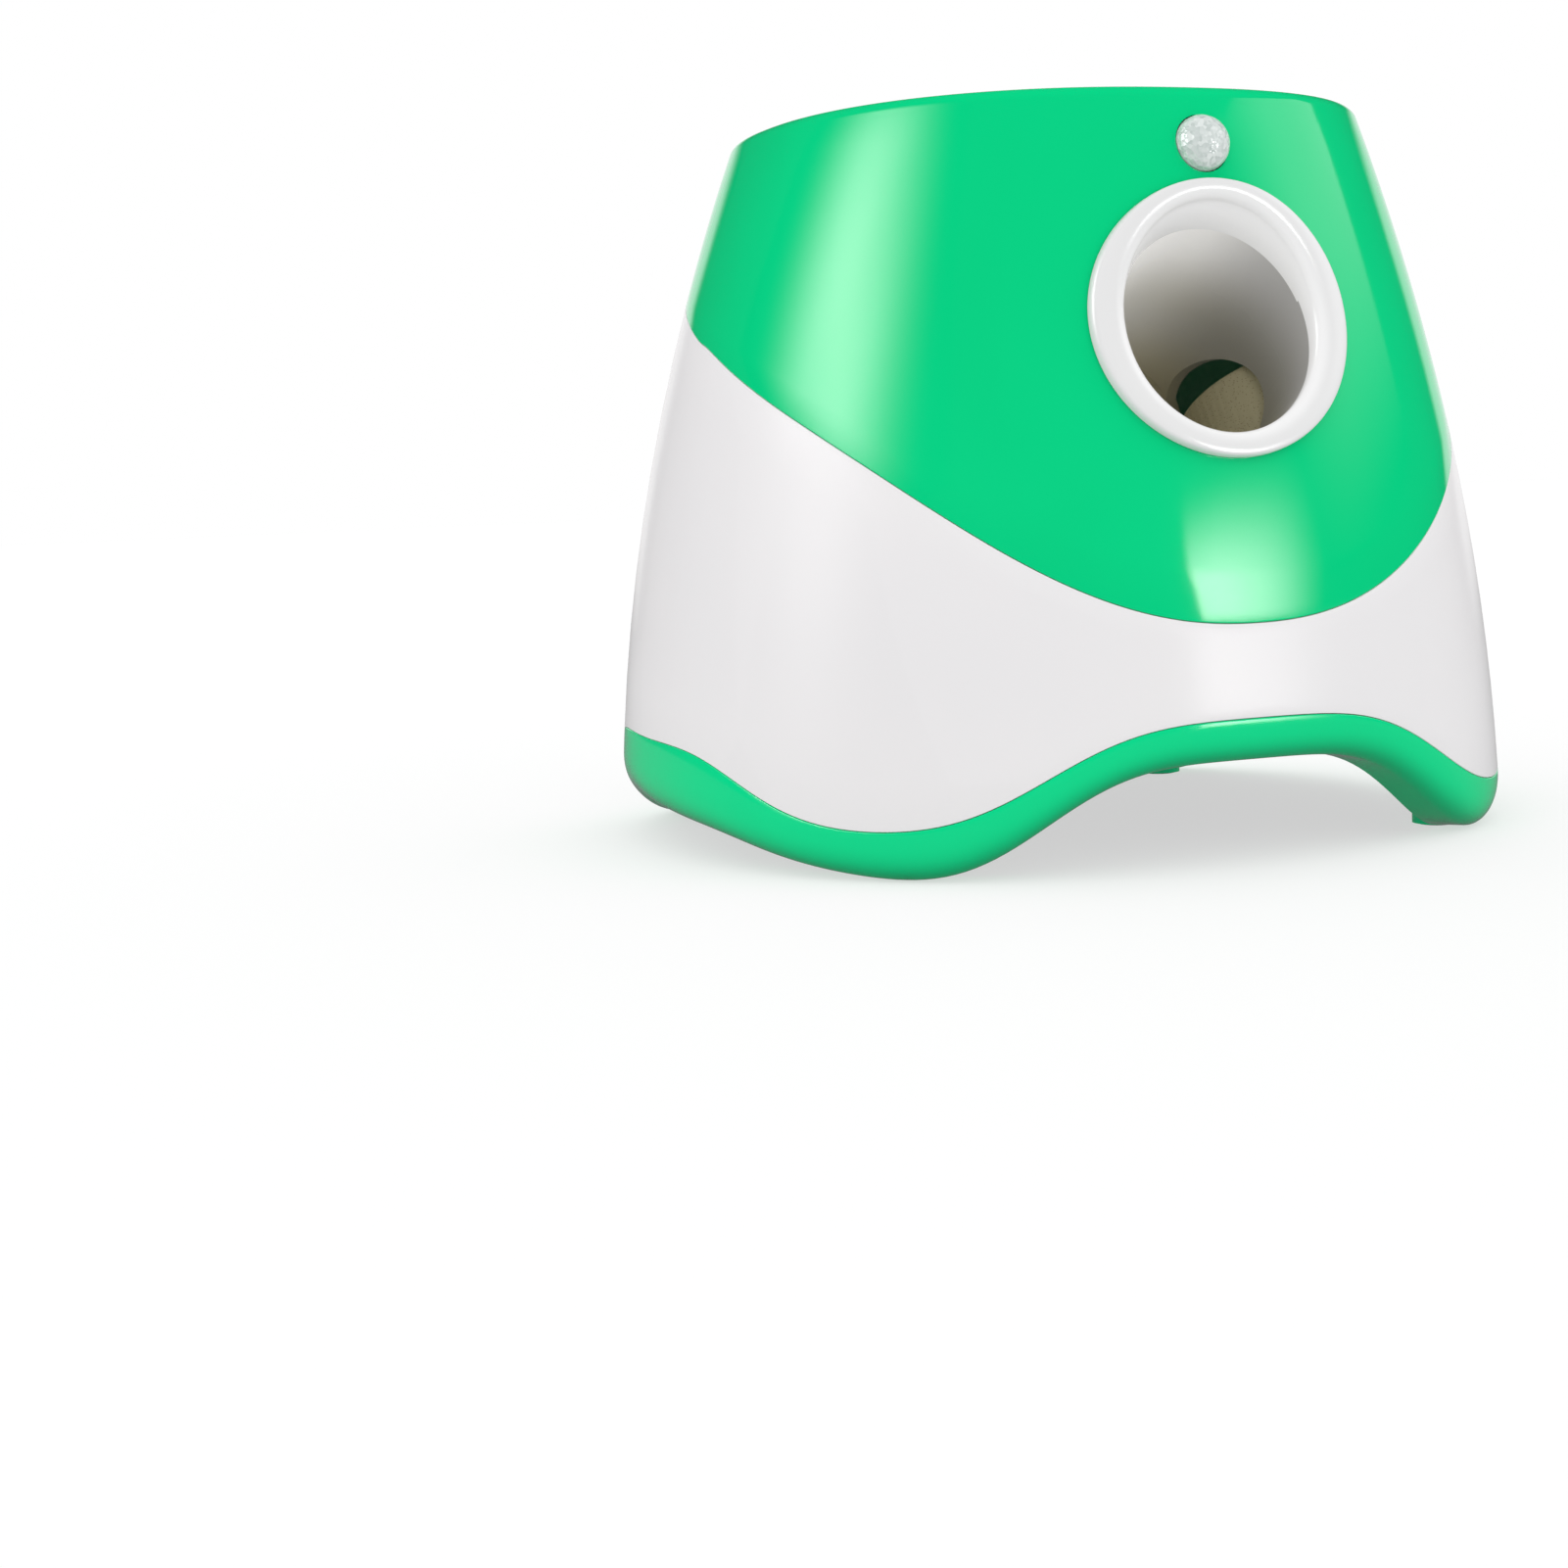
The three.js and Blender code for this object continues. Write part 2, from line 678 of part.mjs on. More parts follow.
// Ring that lies on the curved wall, with a neck that lines up with the tube.
function mouthRing() {
  const centre = new THREE.Vector3(0, mouthY, mouthHeight);
  const right = new THREE.Vector3(1, 0, 0);
  const out = new THREE.Vector3(0, -Math.cos(slope), Math.sin(slope));
  const up = new THREE.Vector3(0, Math.sin(slope), Math.cos(slope));
  const wallOut = new THREE.Vector3(0, -Math.cos(mouthTilt), Math.sin(mouthTilt));
  const wallUp = new THREE.Vector3(0, Math.sin(mouthTilt), Math.cos(mouthTilt));
  const turns = Array.from({ length: ringSteps }, (_, i) => (2 * Math.PI * i) / ringSteps);
  const onTube = (radius, turn) =>
    centre
      .clone()
      .addScaledVector(right, radius * Math.cos(turn))
      .addScaledVector(up, radius * Math.sin(turn));
  const boreLoop = (radius, lift) => turns.map((turn) => ontoWall(onTube(radius, turn), out, lift));
  const neckLoop = (radius) =>
    turns.map((turn) => onTube(radius, turn).addScaledVector(out, -neckEnd));
  const rimPoint = (turn) =>
    centre
      .clone()
      .addScaledVector(right, ringRadius * Math.cos(turn))
      .addScaledVector(wallUp, ringRadius * ringHeightShare * Math.sin(turn));
  const bore = boreLoop(boreRadius, 0);
  // Loop part of the way from the bore to the outer edge, at a lift over the wall.
  const faceLoop = (share, lift) =>
    turns.map((turn, i) => ontoWall(bore[i].clone().lerp(rimPoint(turn), share), wallOut, lift));
  const faceShares = [
    [1, 0.5],
    [0.96, 0.85],
    [0.86, 1],
    [0.5, 1],
    [0.2, 0.8],
    [0.06, 0.45],
  ];
  const loops = [faceLoop(1, seatGap)];
  faceShares.forEach(([share, lift]) => loops.push(faceLoop(share, lift * ringProud)));
  loops.push(bore, neckLoop(boreRadius), neckLoop(tubeRadius), boreLoop(tubeRadius, seatGap));
  return loft(loops, false);
}

// Launch unit

function launchTube() {
  const at = (geometry) => placed(geometry, tubeFrame);
  const barrel = at(rod("z", tubeRadius, -capDepth + seatGap, -neckEnd - seatGap, 0, 0, fine));
  const windowReach = Math.sqrt(wheelRadius ** 2 - (wheelX - tubeRadius) ** 2) + windowClearance;
  const wide = 2 * chuteOuter;
  const chuteEnd = dropReach + wide;
  const longChute = at(rod("y", chuteOuter, 0, chuteEnd, 0, -ballRest, fine));
  const above = block(-wide, wide, -baseDepth / 2, baseDepth / 2, chuteTop, chuteTop + 2 * wide);
  const rooms = [-1, 1].map((side) => {
    const reach = wheelRadius + wheelRoom;
    return at(rod("y", reach, motorPlateHead, -motorPlateHead, side * wheelX, -wheelDepth, fine));
  });
  const chute = without(longChute, above, ...rooms);
  const bore = at(rod("z", boreRadius, -capDepth - cutOverrun, 0, 0, 0, fine));
  const drop = at(rod("y", chuteRadius, 0, chuteEnd, 0, -ballRest, fine));
  const behind = at(block(-wide, wide, -wide, wide, -2 * capDepth, -capDepth + seatGap));
  const windows = [-1, 1].flatMap((side) => {
    const [from, to] = onSide(side, 0, wide);
    const oval = rod("x", windowReach, from, to, 0, 0, fine).scale(1, windowHeightShare, 1);
    const overPlate = block(-wide, wide, motorPlateHead, wide, -wide, wide);
    const window = geometryOf(common(oval, overPlate)).translate(0, 0, -wheelDepth);
    return [at(window), at(rod("x", gateHoleRadius, from, to, gateReach, -ballRest, coarse))];
  });
  const half = slotWidth / 2;
  const notch = at(block(-half, half, -tubeRadius - cutOverrun, 0, -capDepth, -capDepth + slotNotch));
  const ears = [-1, 1].map((side) => {
    const [x0, x1] = onSide(side, half, half + earThickness);
    const low = -pivotDepth - earRadius;
    const high = -pivotDepth + 2 * earRadius;
    const lug = rod("x", earRadius, x0, x1, -kickerReach, -pivotDepth, medium);
    return joined(at(lug), at(block(x0, x1, -kickerReach, -boreRadius, low, high)));
  });
  const earHole = kickerShaftRadius + seatGap;
  const shaftHole = at(rod("x", earHole, -wide, wide, -kickerReach, -pivotDepth, coarse));
  const capRoom = at(rod("z", tubeRadius + seatGap, -2 * capDepth, -capDepth + seatGap, 0, 0, fine));
  const trimmed = without(joined(barrel, chute), bore, drop, behind, notch, ...windows);
  return without(joined(trimmed, ...ears), bore, shaftHole, capRoom);
}

// Cradle under the tube, with a foot on the floor plate and a plate for each flywheel motor
function tubeMount() {
  const at = (geometry) => placed(geometry, tubeFrame);
  const plateReach = motorRadius + motorPlateMargin;
  const low = -wheelDepth - plateReach;
  const high = -wheelDepth + plateReach;
  const inner = tubeRadius + seatGap;
  const outer = inner + saddleWall;
  const cradle = rod("z", outer, low, high, 0, 0, fine);
  const overPlate = block(-outer, outer, motorPlateHead, outer, low, high);
  const plates = [-1, 1].flatMap((side) => [
    at(block(...onSide(side, 0, wheelX), motorPlateFoot, motorPlateHead, low, high)),
    at(rod("y", plateReach, motorPlateFoot, motorPlateHead, side * wheelX, -wheelDepth, medium)),
  ]);
  const shaftRooms = [-1, 1].map((side) => {
    const foot = motorPlateFoot - cutOverrun;
    const head = motorPlateHead + cutOverrun;
    return at(rod("y", motorBossRadius + seatGap, foot, head, side * wheelX, -wheelDepth, medium));
  });
  const webFoot = plateTop + seatGap;
  const webFront = mouthY + saddleFront;
  const webBack = webFront + saddleLength;
  const webs = [-1, 1].map((side) => {
    const x = (side * saddleSpacing) / 2;
    const webTop = tubeAxisAt(webBack);
    return block(x - saddleWall / 2, x + saddleWall / 2, webFront, webBack, webFoot, webTop);
  });
  const sole = (saddleSpacing + saddleWall) / 2;
  const foot = block(-sole, sole, webFront, webBack, webFoot, webFoot + saddleWall);
  const tubeRoom = at(rod("z", inner, -capDepth, ringRadius, 0, 0, fine));
  const body = joined(at(geometryOf(without(cradle, overPlate))), foot, ...webs, ...plates);
  return without(body, tubeRoom, ...shaftRooms);
}

function breechCap() {
  const disc = rod("z", tubeRadius, -capDepth - capThickness, -capDepth, 0, 0, fine);
  const half = slotWidth / 2;
  const slot = block(-half, half, -tubeRadius - cutOverrun, slotTop, -capDepth - 2 * capThickness, 0);
  return without(disc, slot);
}

function flywheelTyre() {
  const inner = wheelRadius - tyreThickness;
  const half = wheelWidth / 2;
  const edge = tyreThickness / 4;
  const profile = [
    [inner, -half],
    [wheelRadius - edge, -half],
    [wheelRadius, -half + edge],
    [wheelRadius, half - edge],
    [wheelRadius - edge, half],
    [inner, half],
    [inner, -half],
  ];
  return turned(profile, fine);
}

function flywheelHub() {
  const rim = wheelRadius - tyreThickness - seatGap;
  const half = wheelWidth / 2;
  const bore = shaftRadius + seatGap;
  const boss = 3 * shaftRadius + seatGap;
  const web = half / 6;
  const rimWall = tyreThickness / 2;
  const profile = [
    [bore, -half],
    [boss, -half],
    [boss, -web],
    [rim - rimWall, -web],
    [rim - rimWall, -half + seatGap],
    [rim, -half + seatGap],
    [rim, half - seatGap],
    [rim - rimWall, half - seatGap],
    [rim - rimWall, web],
    [boss, web],
    [boss, half * hubTopShare],
    [bore, half * hubTopShare],
    [bore, -half],
  ];
  return turned(profile, medium);
}

function motorFace() {
  return motorPlateFoot - seatGap;
}

function flywheelShaft() {
  const top = (wheelWidth / 2) * hubTopShare;
  return rod("z", shaftRadius, motorFace() - shaftSeat, top, 0, 0, coarse);
}

function flywheelMotor() {
  const top = motorFace();
  const edge = motorRadius / 10;
  const foot = top - motorLength;
  const hole = shaftRadius + seatGap;
  const holeFoot = top - shaftSeat - seatGap;
  const profile = [
    [0, foot - motorBossLength],
    [motorBossRadius, foot - motorBossLength],
    [motorBossRadius, foot],
    [motorRadius - edge, foot],
    [motorRadius, foot + edge],
    [motorRadius, top - edge],
    [motorRadius - edge, top],
    [motorBossRadius, top],
    [motorBossRadius, top + motorBossLength],
    [hole, top + motorBossLength],
    [hole, holeFoot],
    [0, holeFoot],
  ];
  return turned(profile, medium);
}

// Outline of a gear with a tooth on the first axis or a gap there. Tooth flanks run straight to the
// centre below the pitch line.
function gearShape(teeth, gapFirst) {
  const pitch = (gearModule * teeth) / 2;
  const root = pitch - dedendumShare * gearModule;
  const tip = pitch + addendumShare * gearModule;
  const step = (2 * Math.PI) / teeth;
  const half = ((Math.PI * gearModule) / 2 - backlash) / 2;
  const shape = new THREE.Shape();
  const flank = Math.tan(toothAngle * degree);
  const tipHalf = half - flank * (tip - pitch);
  for (let i = 0; i < teeth; i++) {
    const middle = step * (i + (gapFirst ? 0.5 : 0));
    const corners = [
      [root, -half / pitch],
      [pitch, -half / pitch],
      [tip, -tipHalf / tip],
      [tip, tipHalf / tip],
      [pitch, half / pitch],
      [root, half / pitch],
    ];
    corners.forEach(([radius, turn], k) => {
      const x = radius * Math.cos(middle + turn);
      const y = radius * Math.sin(middle + turn);
      if (i === 0 && k === 0) shape.moveTo(x, y);
      else shape.lineTo(x, y);
    });
  }
  return shape;
}

// Gear about the X axis, whose first tooth or gap lies along Y.
function gear(teeth, gapFirst, from, boreSize) {
  const shape = gearShape(teeth, gapFirst);
  const hole = new THREE.Path();
  if (boreSize > 0) {
    hole.absarc(0, 0, boreSize, 0, 2 * Math.PI, true);
    shape.holes.push(hole);
  }
  const options = { depth: gearWidth, bevelEnabled: false, curveSegments: coarse };
  const turn = new THREE.Matrix4().makeBasis(
    new THREE.Vector3(0, 1, 0),
    new THREE.Vector3(0, 0, 1),
    new THREE.Vector3(1, 0, 0),
  );
  return new THREE.ExtrudeGeometry(shape, options).translate(0, 0, from).applyMatrix4(turn);
}

function kickerGearStart() {
  return slotWidth / 2 + earThickness + gearGap;
}

function kickerShaft() {
  const left = -slotWidth / 2 - earThickness - seatGap;
  return rod("x", kickerShaftRadius, left, kickerGearStart() + gearWidth, 0, 0, coarse);
}

function kickerGear() {
  return gear(kickerTeeth, false, kickerGearStart(), kickerShaftRadius + seatGap);
}

// Arm about its own pivot, pointing up Y, with its front face towards +Z.
function kickerArm() {
  const half = kickerWidth / 2;
  const hub = rod("x", kickerHubRadius, -half, half, 0, 0, medium);
  const reach = kickerReach + kickerHead - kickerThickness / 2;
  const stem = block(-half, half, 0, reach, -kickerThickness / 2, kickerThickness / 2);
  const head = rod("x", kickerThickness / 2, -half, half, reach, 0, coarse);
  const bore = rod("x", kickerShaftRadius + seatGap, -kickerWidth, kickerWidth, 0, 0, coarse);
  return without(joined(hub, stem, head), bore);
}

function gearMotorStart() {
  return kickerGearStart() + gearWidth + gearMotorGap;
}

function kickerPinion() {
  const teeth = gear(pinionTeeth, true, kickerGearStart(), 0);
  const stub = rod("x", shaftRadius, kickerGearStart(), gearMotorStart() + shaftSeat, 0, 0, coarse);
  return joined(teeth, stub);
}

function kickerMotor() {
  const start = gearMotorStart();
  const canStart = start + gearboxLength;
  const can = rod("x", gearMotorRadius, canStart, start + gearMotorLength, 0, 0, medium);
  const side = gearMotorRadius * 0.8;
  const box = block(start, canStart, -side, side, -side, side);
  const neck = rod("x", side, start + gearboxLength / 2, canStart + cutOverrun, 0, 0, medium);
  const holeEnd = start + shaftSeat + seatGap;
  const hole = rod("x", shaftRadius + seatGap, start - cutOverrun, holeEnd, 0, 0, coarse);
  return without(joined(can, neck, box), hole);
}

function gateSensor(side) {
  const { depth, width, height } = gateBlock;
  const near = chuteOuter + seatGap;
  const [x0, x1] = onSide(side, near, near + depth);
  const [low, high] = [gateReach - height / 2, gateReach + height / 2];
  const body = block(x0, x1, low, high, -ballRest - width / 2, -ballRest + width / 2);
  const [tip, end] = onSide(side, near - tubeWall, near);
  const nose = rod("x", gateHoleRadius - seatGap, tip, end, gateReach, -ballRest, coarse);
  return joined(body, nose);
}

// Sensor above the mouth

function sensorPostPlaces() {
  const x = sensorBoardWidth / 2 - sensorPostRadius;
  const y = sensorBoardHeight / 2 - sensorPostRadius;
  return [
    { x: -x, y: -y },
    { x, y: -y },
    { x, y },
    { x: -x, y },
  ];
}

function lensFoot() {
  return -wall - lensSetback - lensFlange;
}

function sensorBoardTop() {
  return lensFoot() - sensorCanHeight / 2 - seatGap;
}

function sensorLens() {
  const foot = lensFoot();
  const inner = lensRadius - lensWall;
  const profile = [];
  profile.push([inner, foot], [lensRadius + lensFlange, foot]);
  profile.push([lensRadius + lensFlange, foot + lensFlange], [lensRadius, foot + lensFlange]);
  for (let k = 0; k <= arcRows; k++) {
    const turn = (Math.PI / 2) * (k / arcRows);
    profile.push([lensRadius * Math.cos(turn), lensProud * Math.sin(turn)]);
  }
  for (let k = arcRows; k >= 0; k--) {
    const turn = (Math.PI / 2) * (k / arcRows);
    profile.push([inner * Math.cos(turn), (lensProud - lensWall) * Math.sin(turn)]);
  }
  profile.push([inner, foot]);
  return turned(profile, medium);
}

function sensorCan() {
  const foot = sensorBoardTop() + seatGap;
  return rod("z", sensorCanRadius, foot, foot + sensorCanHeight, 0, 0, medium);
}

function sensorBoard() {
  const x = sensorBoardWidth / 2;
  const y = sensorBoardHeight / 2;
  return block(-x, x, -y, y, sensorBoardTop() - boardThickness, sensorBoardTop());
}

// Floor and batteries

function bay() {
  const rowPitch = 2 * cellRadius + seatGap;
  const halfWidth = cellLength + nubLength + 2 * seatGap + contactBump + contactThickness + seatGap;
  const back = trayFront + cellRows * rowPitch + seatGap;
  const roof = plateBottom + 2 * cellRadius + seatGap;
  return { rowPitch, halfWidth, back, roof };
}

function cellRowY(row) {
  return trayFront + seatGap + cellRadius + row * bay().rowPitch;
}

function doorHinge() {
  return { y: trayFront - doorHingeSetback, z: plateBottom - doorHingeDrop };
}

function basePlate(gearMotorPlace) {
  const plate = bodyBlock(innerInset + seatGap, plateBottom, plateTop, 1);
  const posts = footPlaces().map(({ x, y }) =>
    rod("z", postRadius, footBossHeight + seatGap, plateTop, x, y, coarse),
  );
  const postHoles = footPlaces().map(({ x, y }) =>
    rod("z", screwRadius + seatGap, 0, plateTop + cutOverrun, x, y, coarse),
  );
  const { halfWidth, back, roof } = bay();
  const tray = block(
    -halfWidth - trayWall,
    halfWidth + trayWall,
    trayFront - trayWall,
    back + trayWall,
    plateBottom,
    roof + trayWall,
  );
  const room = block(-halfWidth, halfWidth, trayFront, back, 0, roof);
  const hinge = doorHinge();
  const lugs = [-1, 1].map((side) => {
    const near = doorBarrelLength / 2 + seatGap;
    const [x0, x1] = onSide(side, near, near + lugThickness);
    const eye = rod("x", lugRadius, x0, x1, hinge.y, hinge.z, medium);
    return joined(eye, block(x0, x1, hinge.y - lugRadius, hinge.y + lugRadius, hinge.z, plateTop));
  });
  const pinHole = rod("x", doorPinRadius + seatGap, -halfWidth, halfWidth, hinge.y, hinge.z, coarse);
  const cradleReach = gearMotorRadius + cradleWidth / 2;
  const start = gearMotorStart() + gearboxLength;
  const end = gearMotorStart() + gearMotorLength;
  const root = plateTop - plateThickness / 2;
  const { y: motorY, z: motorZ } = gearMotorPlace;
  const cradles = [start + cradleWidth, end - cradleWidth].map((x) => {
    const half = cradleWidth / 2;
    return block(x - half, x + half, motorY - cradleReach, motorY + cradleReach, root, motorZ);
  });
  const roomRadius = gearMotorRadius + seatGap;
  const motorRoom = rod("x", roomRadius, gearMotorStart(), end + cutOverrun, motorY, motorZ, medium);
  const standoffs = mainBoardPosts().map(([x, y]) =>
    rod("z", mainBoard.standoffRadius, root, plateTop + mainBoard.standoff, x, y, coarse),
  );
  const slots = Array.from({ length: speaker.slots }, (_, k) => {
    const y = speaker.y + 2 * speaker.slot * (k - (speaker.slots - 1) / 2);
    const reach = speaker.radius * 0.6;
    return block(
      speaker.x - reach,
      speaker.x + reach,
      y - speaker.slot / 2,
      y + speaker.slot / 2,
      plateBottom - cutOverrun,
      plateTop + cutOverrun,
    );
  });
  const body = joined(plate, tray, ...posts, ...lugs, ...cradles, ...standoffs);
  return without(body, room, pinHole, motorRoom, ...postHoles, ...slots);
}

function batteryDoor() {
  const { halfWidth, back } = bay();
  const hinge = doorHinge();
  const top = plateBottom - seatGap;
  const x = halfWidth + doorMargin;
  const front = hinge.y + lugRadius + doorBarrelRadius;
  const panel = block(-x, x, front, back + doorMargin, top - doorThickness, top);
  const half = doorBarrelLength / 2;
  const strap = block(-half, half, hinge.y, front + doorBarrelRadius, top - doorThickness, top);
  const barrel = rod("x", doorBarrelRadius, -half, half, hinge.y, hinge.z, medium);
  const pinHole = rod("x", doorPinRadius + seatGap, -2 * half, 2 * half, hinge.y, hinge.z, coarse);
  const grip = rod(
    "x",
    doorThickness,
    -half,
    half,
    back - doorMargin,
    top - 1.5 * doorThickness,
    coarse,
  );
  return without(joined(panel, strap, barrel), pinHole, grip);
}

function doorPin() {
  const hinge = doorHinge();
  const reach = doorBarrelLength / 2 + seatGap + lugThickness;
  return rod("x", doorPinRadius, -reach, reach, hinge.y, hinge.z, coarse);
}

function batteryCell() {
  const edge = cellRadius / 13;
  const profile = [
    [0, 0],
    [cellRadius - edge, 0],
    [cellRadius, edge],
    [cellRadius, cellLength - edge],
    [cellRadius - edge, cellLength],
    [nubRadius, cellLength],
    [nubRadius, cellLength + nubLength],
    [0, cellLength + nubLength],
  ];
  return turned(profile, medium).rotateY(Math.PI / 2);
}

function batteryContact(side) {
  const { halfWidth, back } = bay();
  const outer = halfWidth - seatGap;
  const inner = outer - contactThickness;
  const cellZ = plateBottom + cellRadius;
  const strip = block(
    ...onSide(side, inner, outer),
    trayFront + contactMargin,
    back - contactMargin,
    cellZ - contactMargin,
    cellZ + contactMargin,
  );
  const bumps = Array.from({ length: cellRows }, (_, row) => {
    const [from, to] = onSide(side, inner - contactBump, (inner + outer) / 2);
    return rod("x", nubRadius, from, to, cellRowY(row), cellZ, coarse);
  });
  return joined(strip, ...bumps);
}

// Electronics on the floor

function mainBoardPosts() {
  const x = mainBoard.width / 2 - mainBoard.inset;
  const y = mainBoard.depth / 2 - mainBoard.inset;
  return [
    [mainBoard.x - x, mainBoard.y - y],
    [mainBoard.x + x, mainBoard.y - y],
    [mainBoard.x + x, mainBoard.y + y],
    [mainBoard.x - x, mainBoard.y + y],
  ];
}

function controlBoard() {
  const { x, y, width, depth, standoff } = mainBoard;
  const foot = plateTop + standoff + seatGap;
  const top = foot + boardThickness;
  const root = top - boardThickness / 2;
  const board = block(x - width / 2, x + width / 2, y - depth / 2, y + depth / 2, foot, top);
  const chip = width / 4;
  const processor = block(x - chip, x + chip, y - chip, y + chip, root, top + boardThickness);
  const capacitors = [-1, 1].map((side) =>
    rod("z", chip / 2, root, top + chip, x, y + (side * depth) / 3, coarse),
  );
  const heatSinks = [-1, 1].map((side) => {
    const middle = x + (side * width) / 3;
    const half = boardThickness;
    return block(middle - half, middle + half, y - chip, y + chip, root, top + 1.5 * chip);
  });
  return joined(board, processor, ...capacitors, ...heatSinks);
}

function speakerUnit() {
  const { x, y, radius, frame, magnetRadius, magnet } = speaker;
  const foot = plateTop + seatGap;
  const profile = [
    [0, foot],
    [radius, foot],
    [radius, foot + frame / 3],
    [magnetRadius, foot + frame],
    [magnetRadius, foot + frame + magnet],
    [0, foot + frame + magnet],
  ];
  return turned(profile, medium).translate(x, y, 0);
}

// Controls at the back, in the frame of the panel

function controlPanel() {
  const { width, height, depth, recess, corner, flange } = panelSize;
  const face = -recess;
  const back = face - depth;
  const plate = roundedPlate(width, height, corner, back - seatGap, face);
  const rear = roundedPlate(
    width + 2 * flange,
    height + 2 * flange,
    corner + flange,
    back - flange - seatGap,
    back - seatGap,
  );
  const rearFace = panelRear();
  const postEnd = rearFace + flange / 2;
  const posts = [-1, 1].flatMap((sx) =>
    [-1, 1].map((sy) => {
      const x = panelBoard.x + sx * (panelBoard.width / 2 - screwRadius * 2);
      const y = sy * (panelBoard.height / 2 - screwRadius * 2);
      return rod("z", screwRadius, panelBoardFace() + seatGap, postEnd, x, y, coarse);
    }),
  );
  const housing = rockerHousing;
  const opening = block(
    rocker.x - housing.width / 2 + housing.bezel - seatGap,
    rocker.x + housing.width / 2 - housing.bezel + seatGap,
    -housing.length / 2 + housing.bezel - seatGap,
    housing.length / 2 - housing.bezel + seatGap,
    rearFace - cutOverrun,
    cutOverrun,
  );
  const hole = (x, radius) =>
    rod("z", radius + seatGap, rearFace - cutOverrun, cutOverrun, x, 0, medium);
  const ledHoles = ledPlaces().map((x) => hole(x, ledRadius));
  const cuts = [opening, hole(button.x, button.radius), hole(jack.x, jack.radius), ...ledHoles];
  return without(joined(plate, rear, ...posts), ...cuts);
}

function panelRear() {
  return -panelSize.recess - panelSize.depth - panelSize.flange - seatGap;
}

function panelBoardFace() {
  return panelRear() - panelBoardDrop;
}

function ledPlaces() {
  return [0, 1, 2].map((k) => ledStart + k * ledPitch);
}

function switchHousing() {
  const { width, length, bezel, depth, room } = rockerHousing;
  const face = -panelSize.recess + seatGap;
  const inner = [width / 2 - bezel, length / 2 - bezel];
  const frame = block(-width / 2, width / 2, -length / 2, length / 2, face, face + bezel);
  const body = block(-inner[0], inner[0], -inner[1], inner[1], face - depth, face + bezel / 2);
  const half = rocker.width / 2 + seatGap;
  const reach = rocker.length / 2 + 2 * seatGap + rocker.dip / 2;
  const cavity = block(-half, half, -reach, reach, face - room, face + bezel + cutOverrun);
  const pinReach = inner[0] - seatGap;
  const pinHole = rod("x", rocker.pin + seatGap, -pinReach, pinReach, 0, face, coarse);
  return without(joined(frame, body), cavity, pinHole).translate([rocker.x, 0, 0]);
}

// Rocker about its own pivot, level, with its length along Y.
function rockerSwitch() {
  const { width, length, rise, dip, depth, pin } = rocker;
  const half = length / 2;
  const shape = new THREE.Shape();
  shape.moveTo(-half, -depth);
  shape.lineTo(half, -depth);
  shape.lineTo(half, rise);
  shape.lineTo(0, rise - dip);
  shape.lineTo(-half, rise);
  const turn = new THREE.Matrix4().makeBasis(
    new THREE.Vector3(0, 1, 0),
    new THREE.Vector3(0, 0, 1),
    new THREE.Vector3(1, 0, 0),
  );
  const options = { depth: width, bevelEnabled: false };
  const body = new THREE.ExtrudeGeometry(shape, options);
  body.translate(0, 0, -width / 2).applyMatrix4(turn);
  const pinReach = rockerHousing.width / 2 - rockerHousing.bezel - 2 * seatGap;
  return joined(body, rod("x", pin, -pinReach, pinReach, 0, 0, coarse));
}

function distanceButton() {
  const { x, radius, proud, flange, flangeThickness } = button;
  const top = -panelSize.recess + proud;
  const rear = panelRear() - seatGap;
  const profile = [
    [0, rear - flangeThickness],
    [radius + flange, rear - flangeThickness],
    [radius + flange, rear],
    [radius, rear],
    [radius, top - proud / 3],
    [radius - proud / 3, top],
    [0, top - proud / 4],
  ];
  return turned(profile, medium).translate(x, 0, 0);
}

function tactSwitch() {
  const half = buttonSwitch.size / 2;
  const foot = panelBoardFace() + seatGap;
  const top = foot + buttonSwitch.height;
  const body = block(-half, half, -half, half, foot, top - buttonSwitch.height / 4);
  return joined(body, rod("z", half / 2, foot, top, 0, 0, coarse)).translate([button.x, 0, 0]);
}

function ledLens() {
  const foot = panelBoardFace() + seatGap;
  const shoulder = panelRear() - seatGap;
  const top = -panelSize.recess + ledProud;
  const profile = [
    [0, foot],
    [ledRadius + ledFlange, foot],
    [ledRadius + ledFlange, shoulder],
    [ledRadius, shoulder],
    [ledRadius, top - ledProud / 2],
    [ledRadius * 0.7, top - ledProud / 8],
    [0, top],
  ];
  return turned(profile, coarse);
}

function powerJack() {
  const { radius, flange, lip, bore, pin, depth, length } = jack;
  const face = -panelSize.recess + seatGap;
  const top = face + lip;
  const profile = [
    [0, top - length],
    [radius, top - length],
    [radius, face],
    [radius + flange, face],
    [radius + flange, top],
    [bore, top],
    [bore, top - depth],
    [pin, top - depth],
    [pin, top - lip],
    [0, top - lip],
  ];
  return turned(profile, medium);
}

function panelCircuit() {
  const { x, width, height } = panelBoard;
  const top = panelBoardFace();
  return block(x - width / 2, x + width / 2, -height / 2, height / 2, top - boardThickness, top);
}

// Feet and screws

function rubberFoot() {
  const top = footPocket - seatGap;
  const edge = footProud / 2;
  const profile = [
    [0, -footProud],
    [footRadius - edge, -footProud],
    [footRadius, -footProud + edge],
    [footRadius, top],
    [0, top],
  ];
  return turned(profile, medium);
}

function bodyScrew() {
  const foot = footPocket + seatGap;
  const neck = foot + screwHeadHeight;
  const profile = [
    [0, foot],
    [screwHeadRadius, foot],
    [screwHeadRadius, neck],
    [screwRadius, neck],
    [screwRadius, foot + screwLength],
    [0, foot + screwLength],
  ];
  return turned(profile, coarse);
}

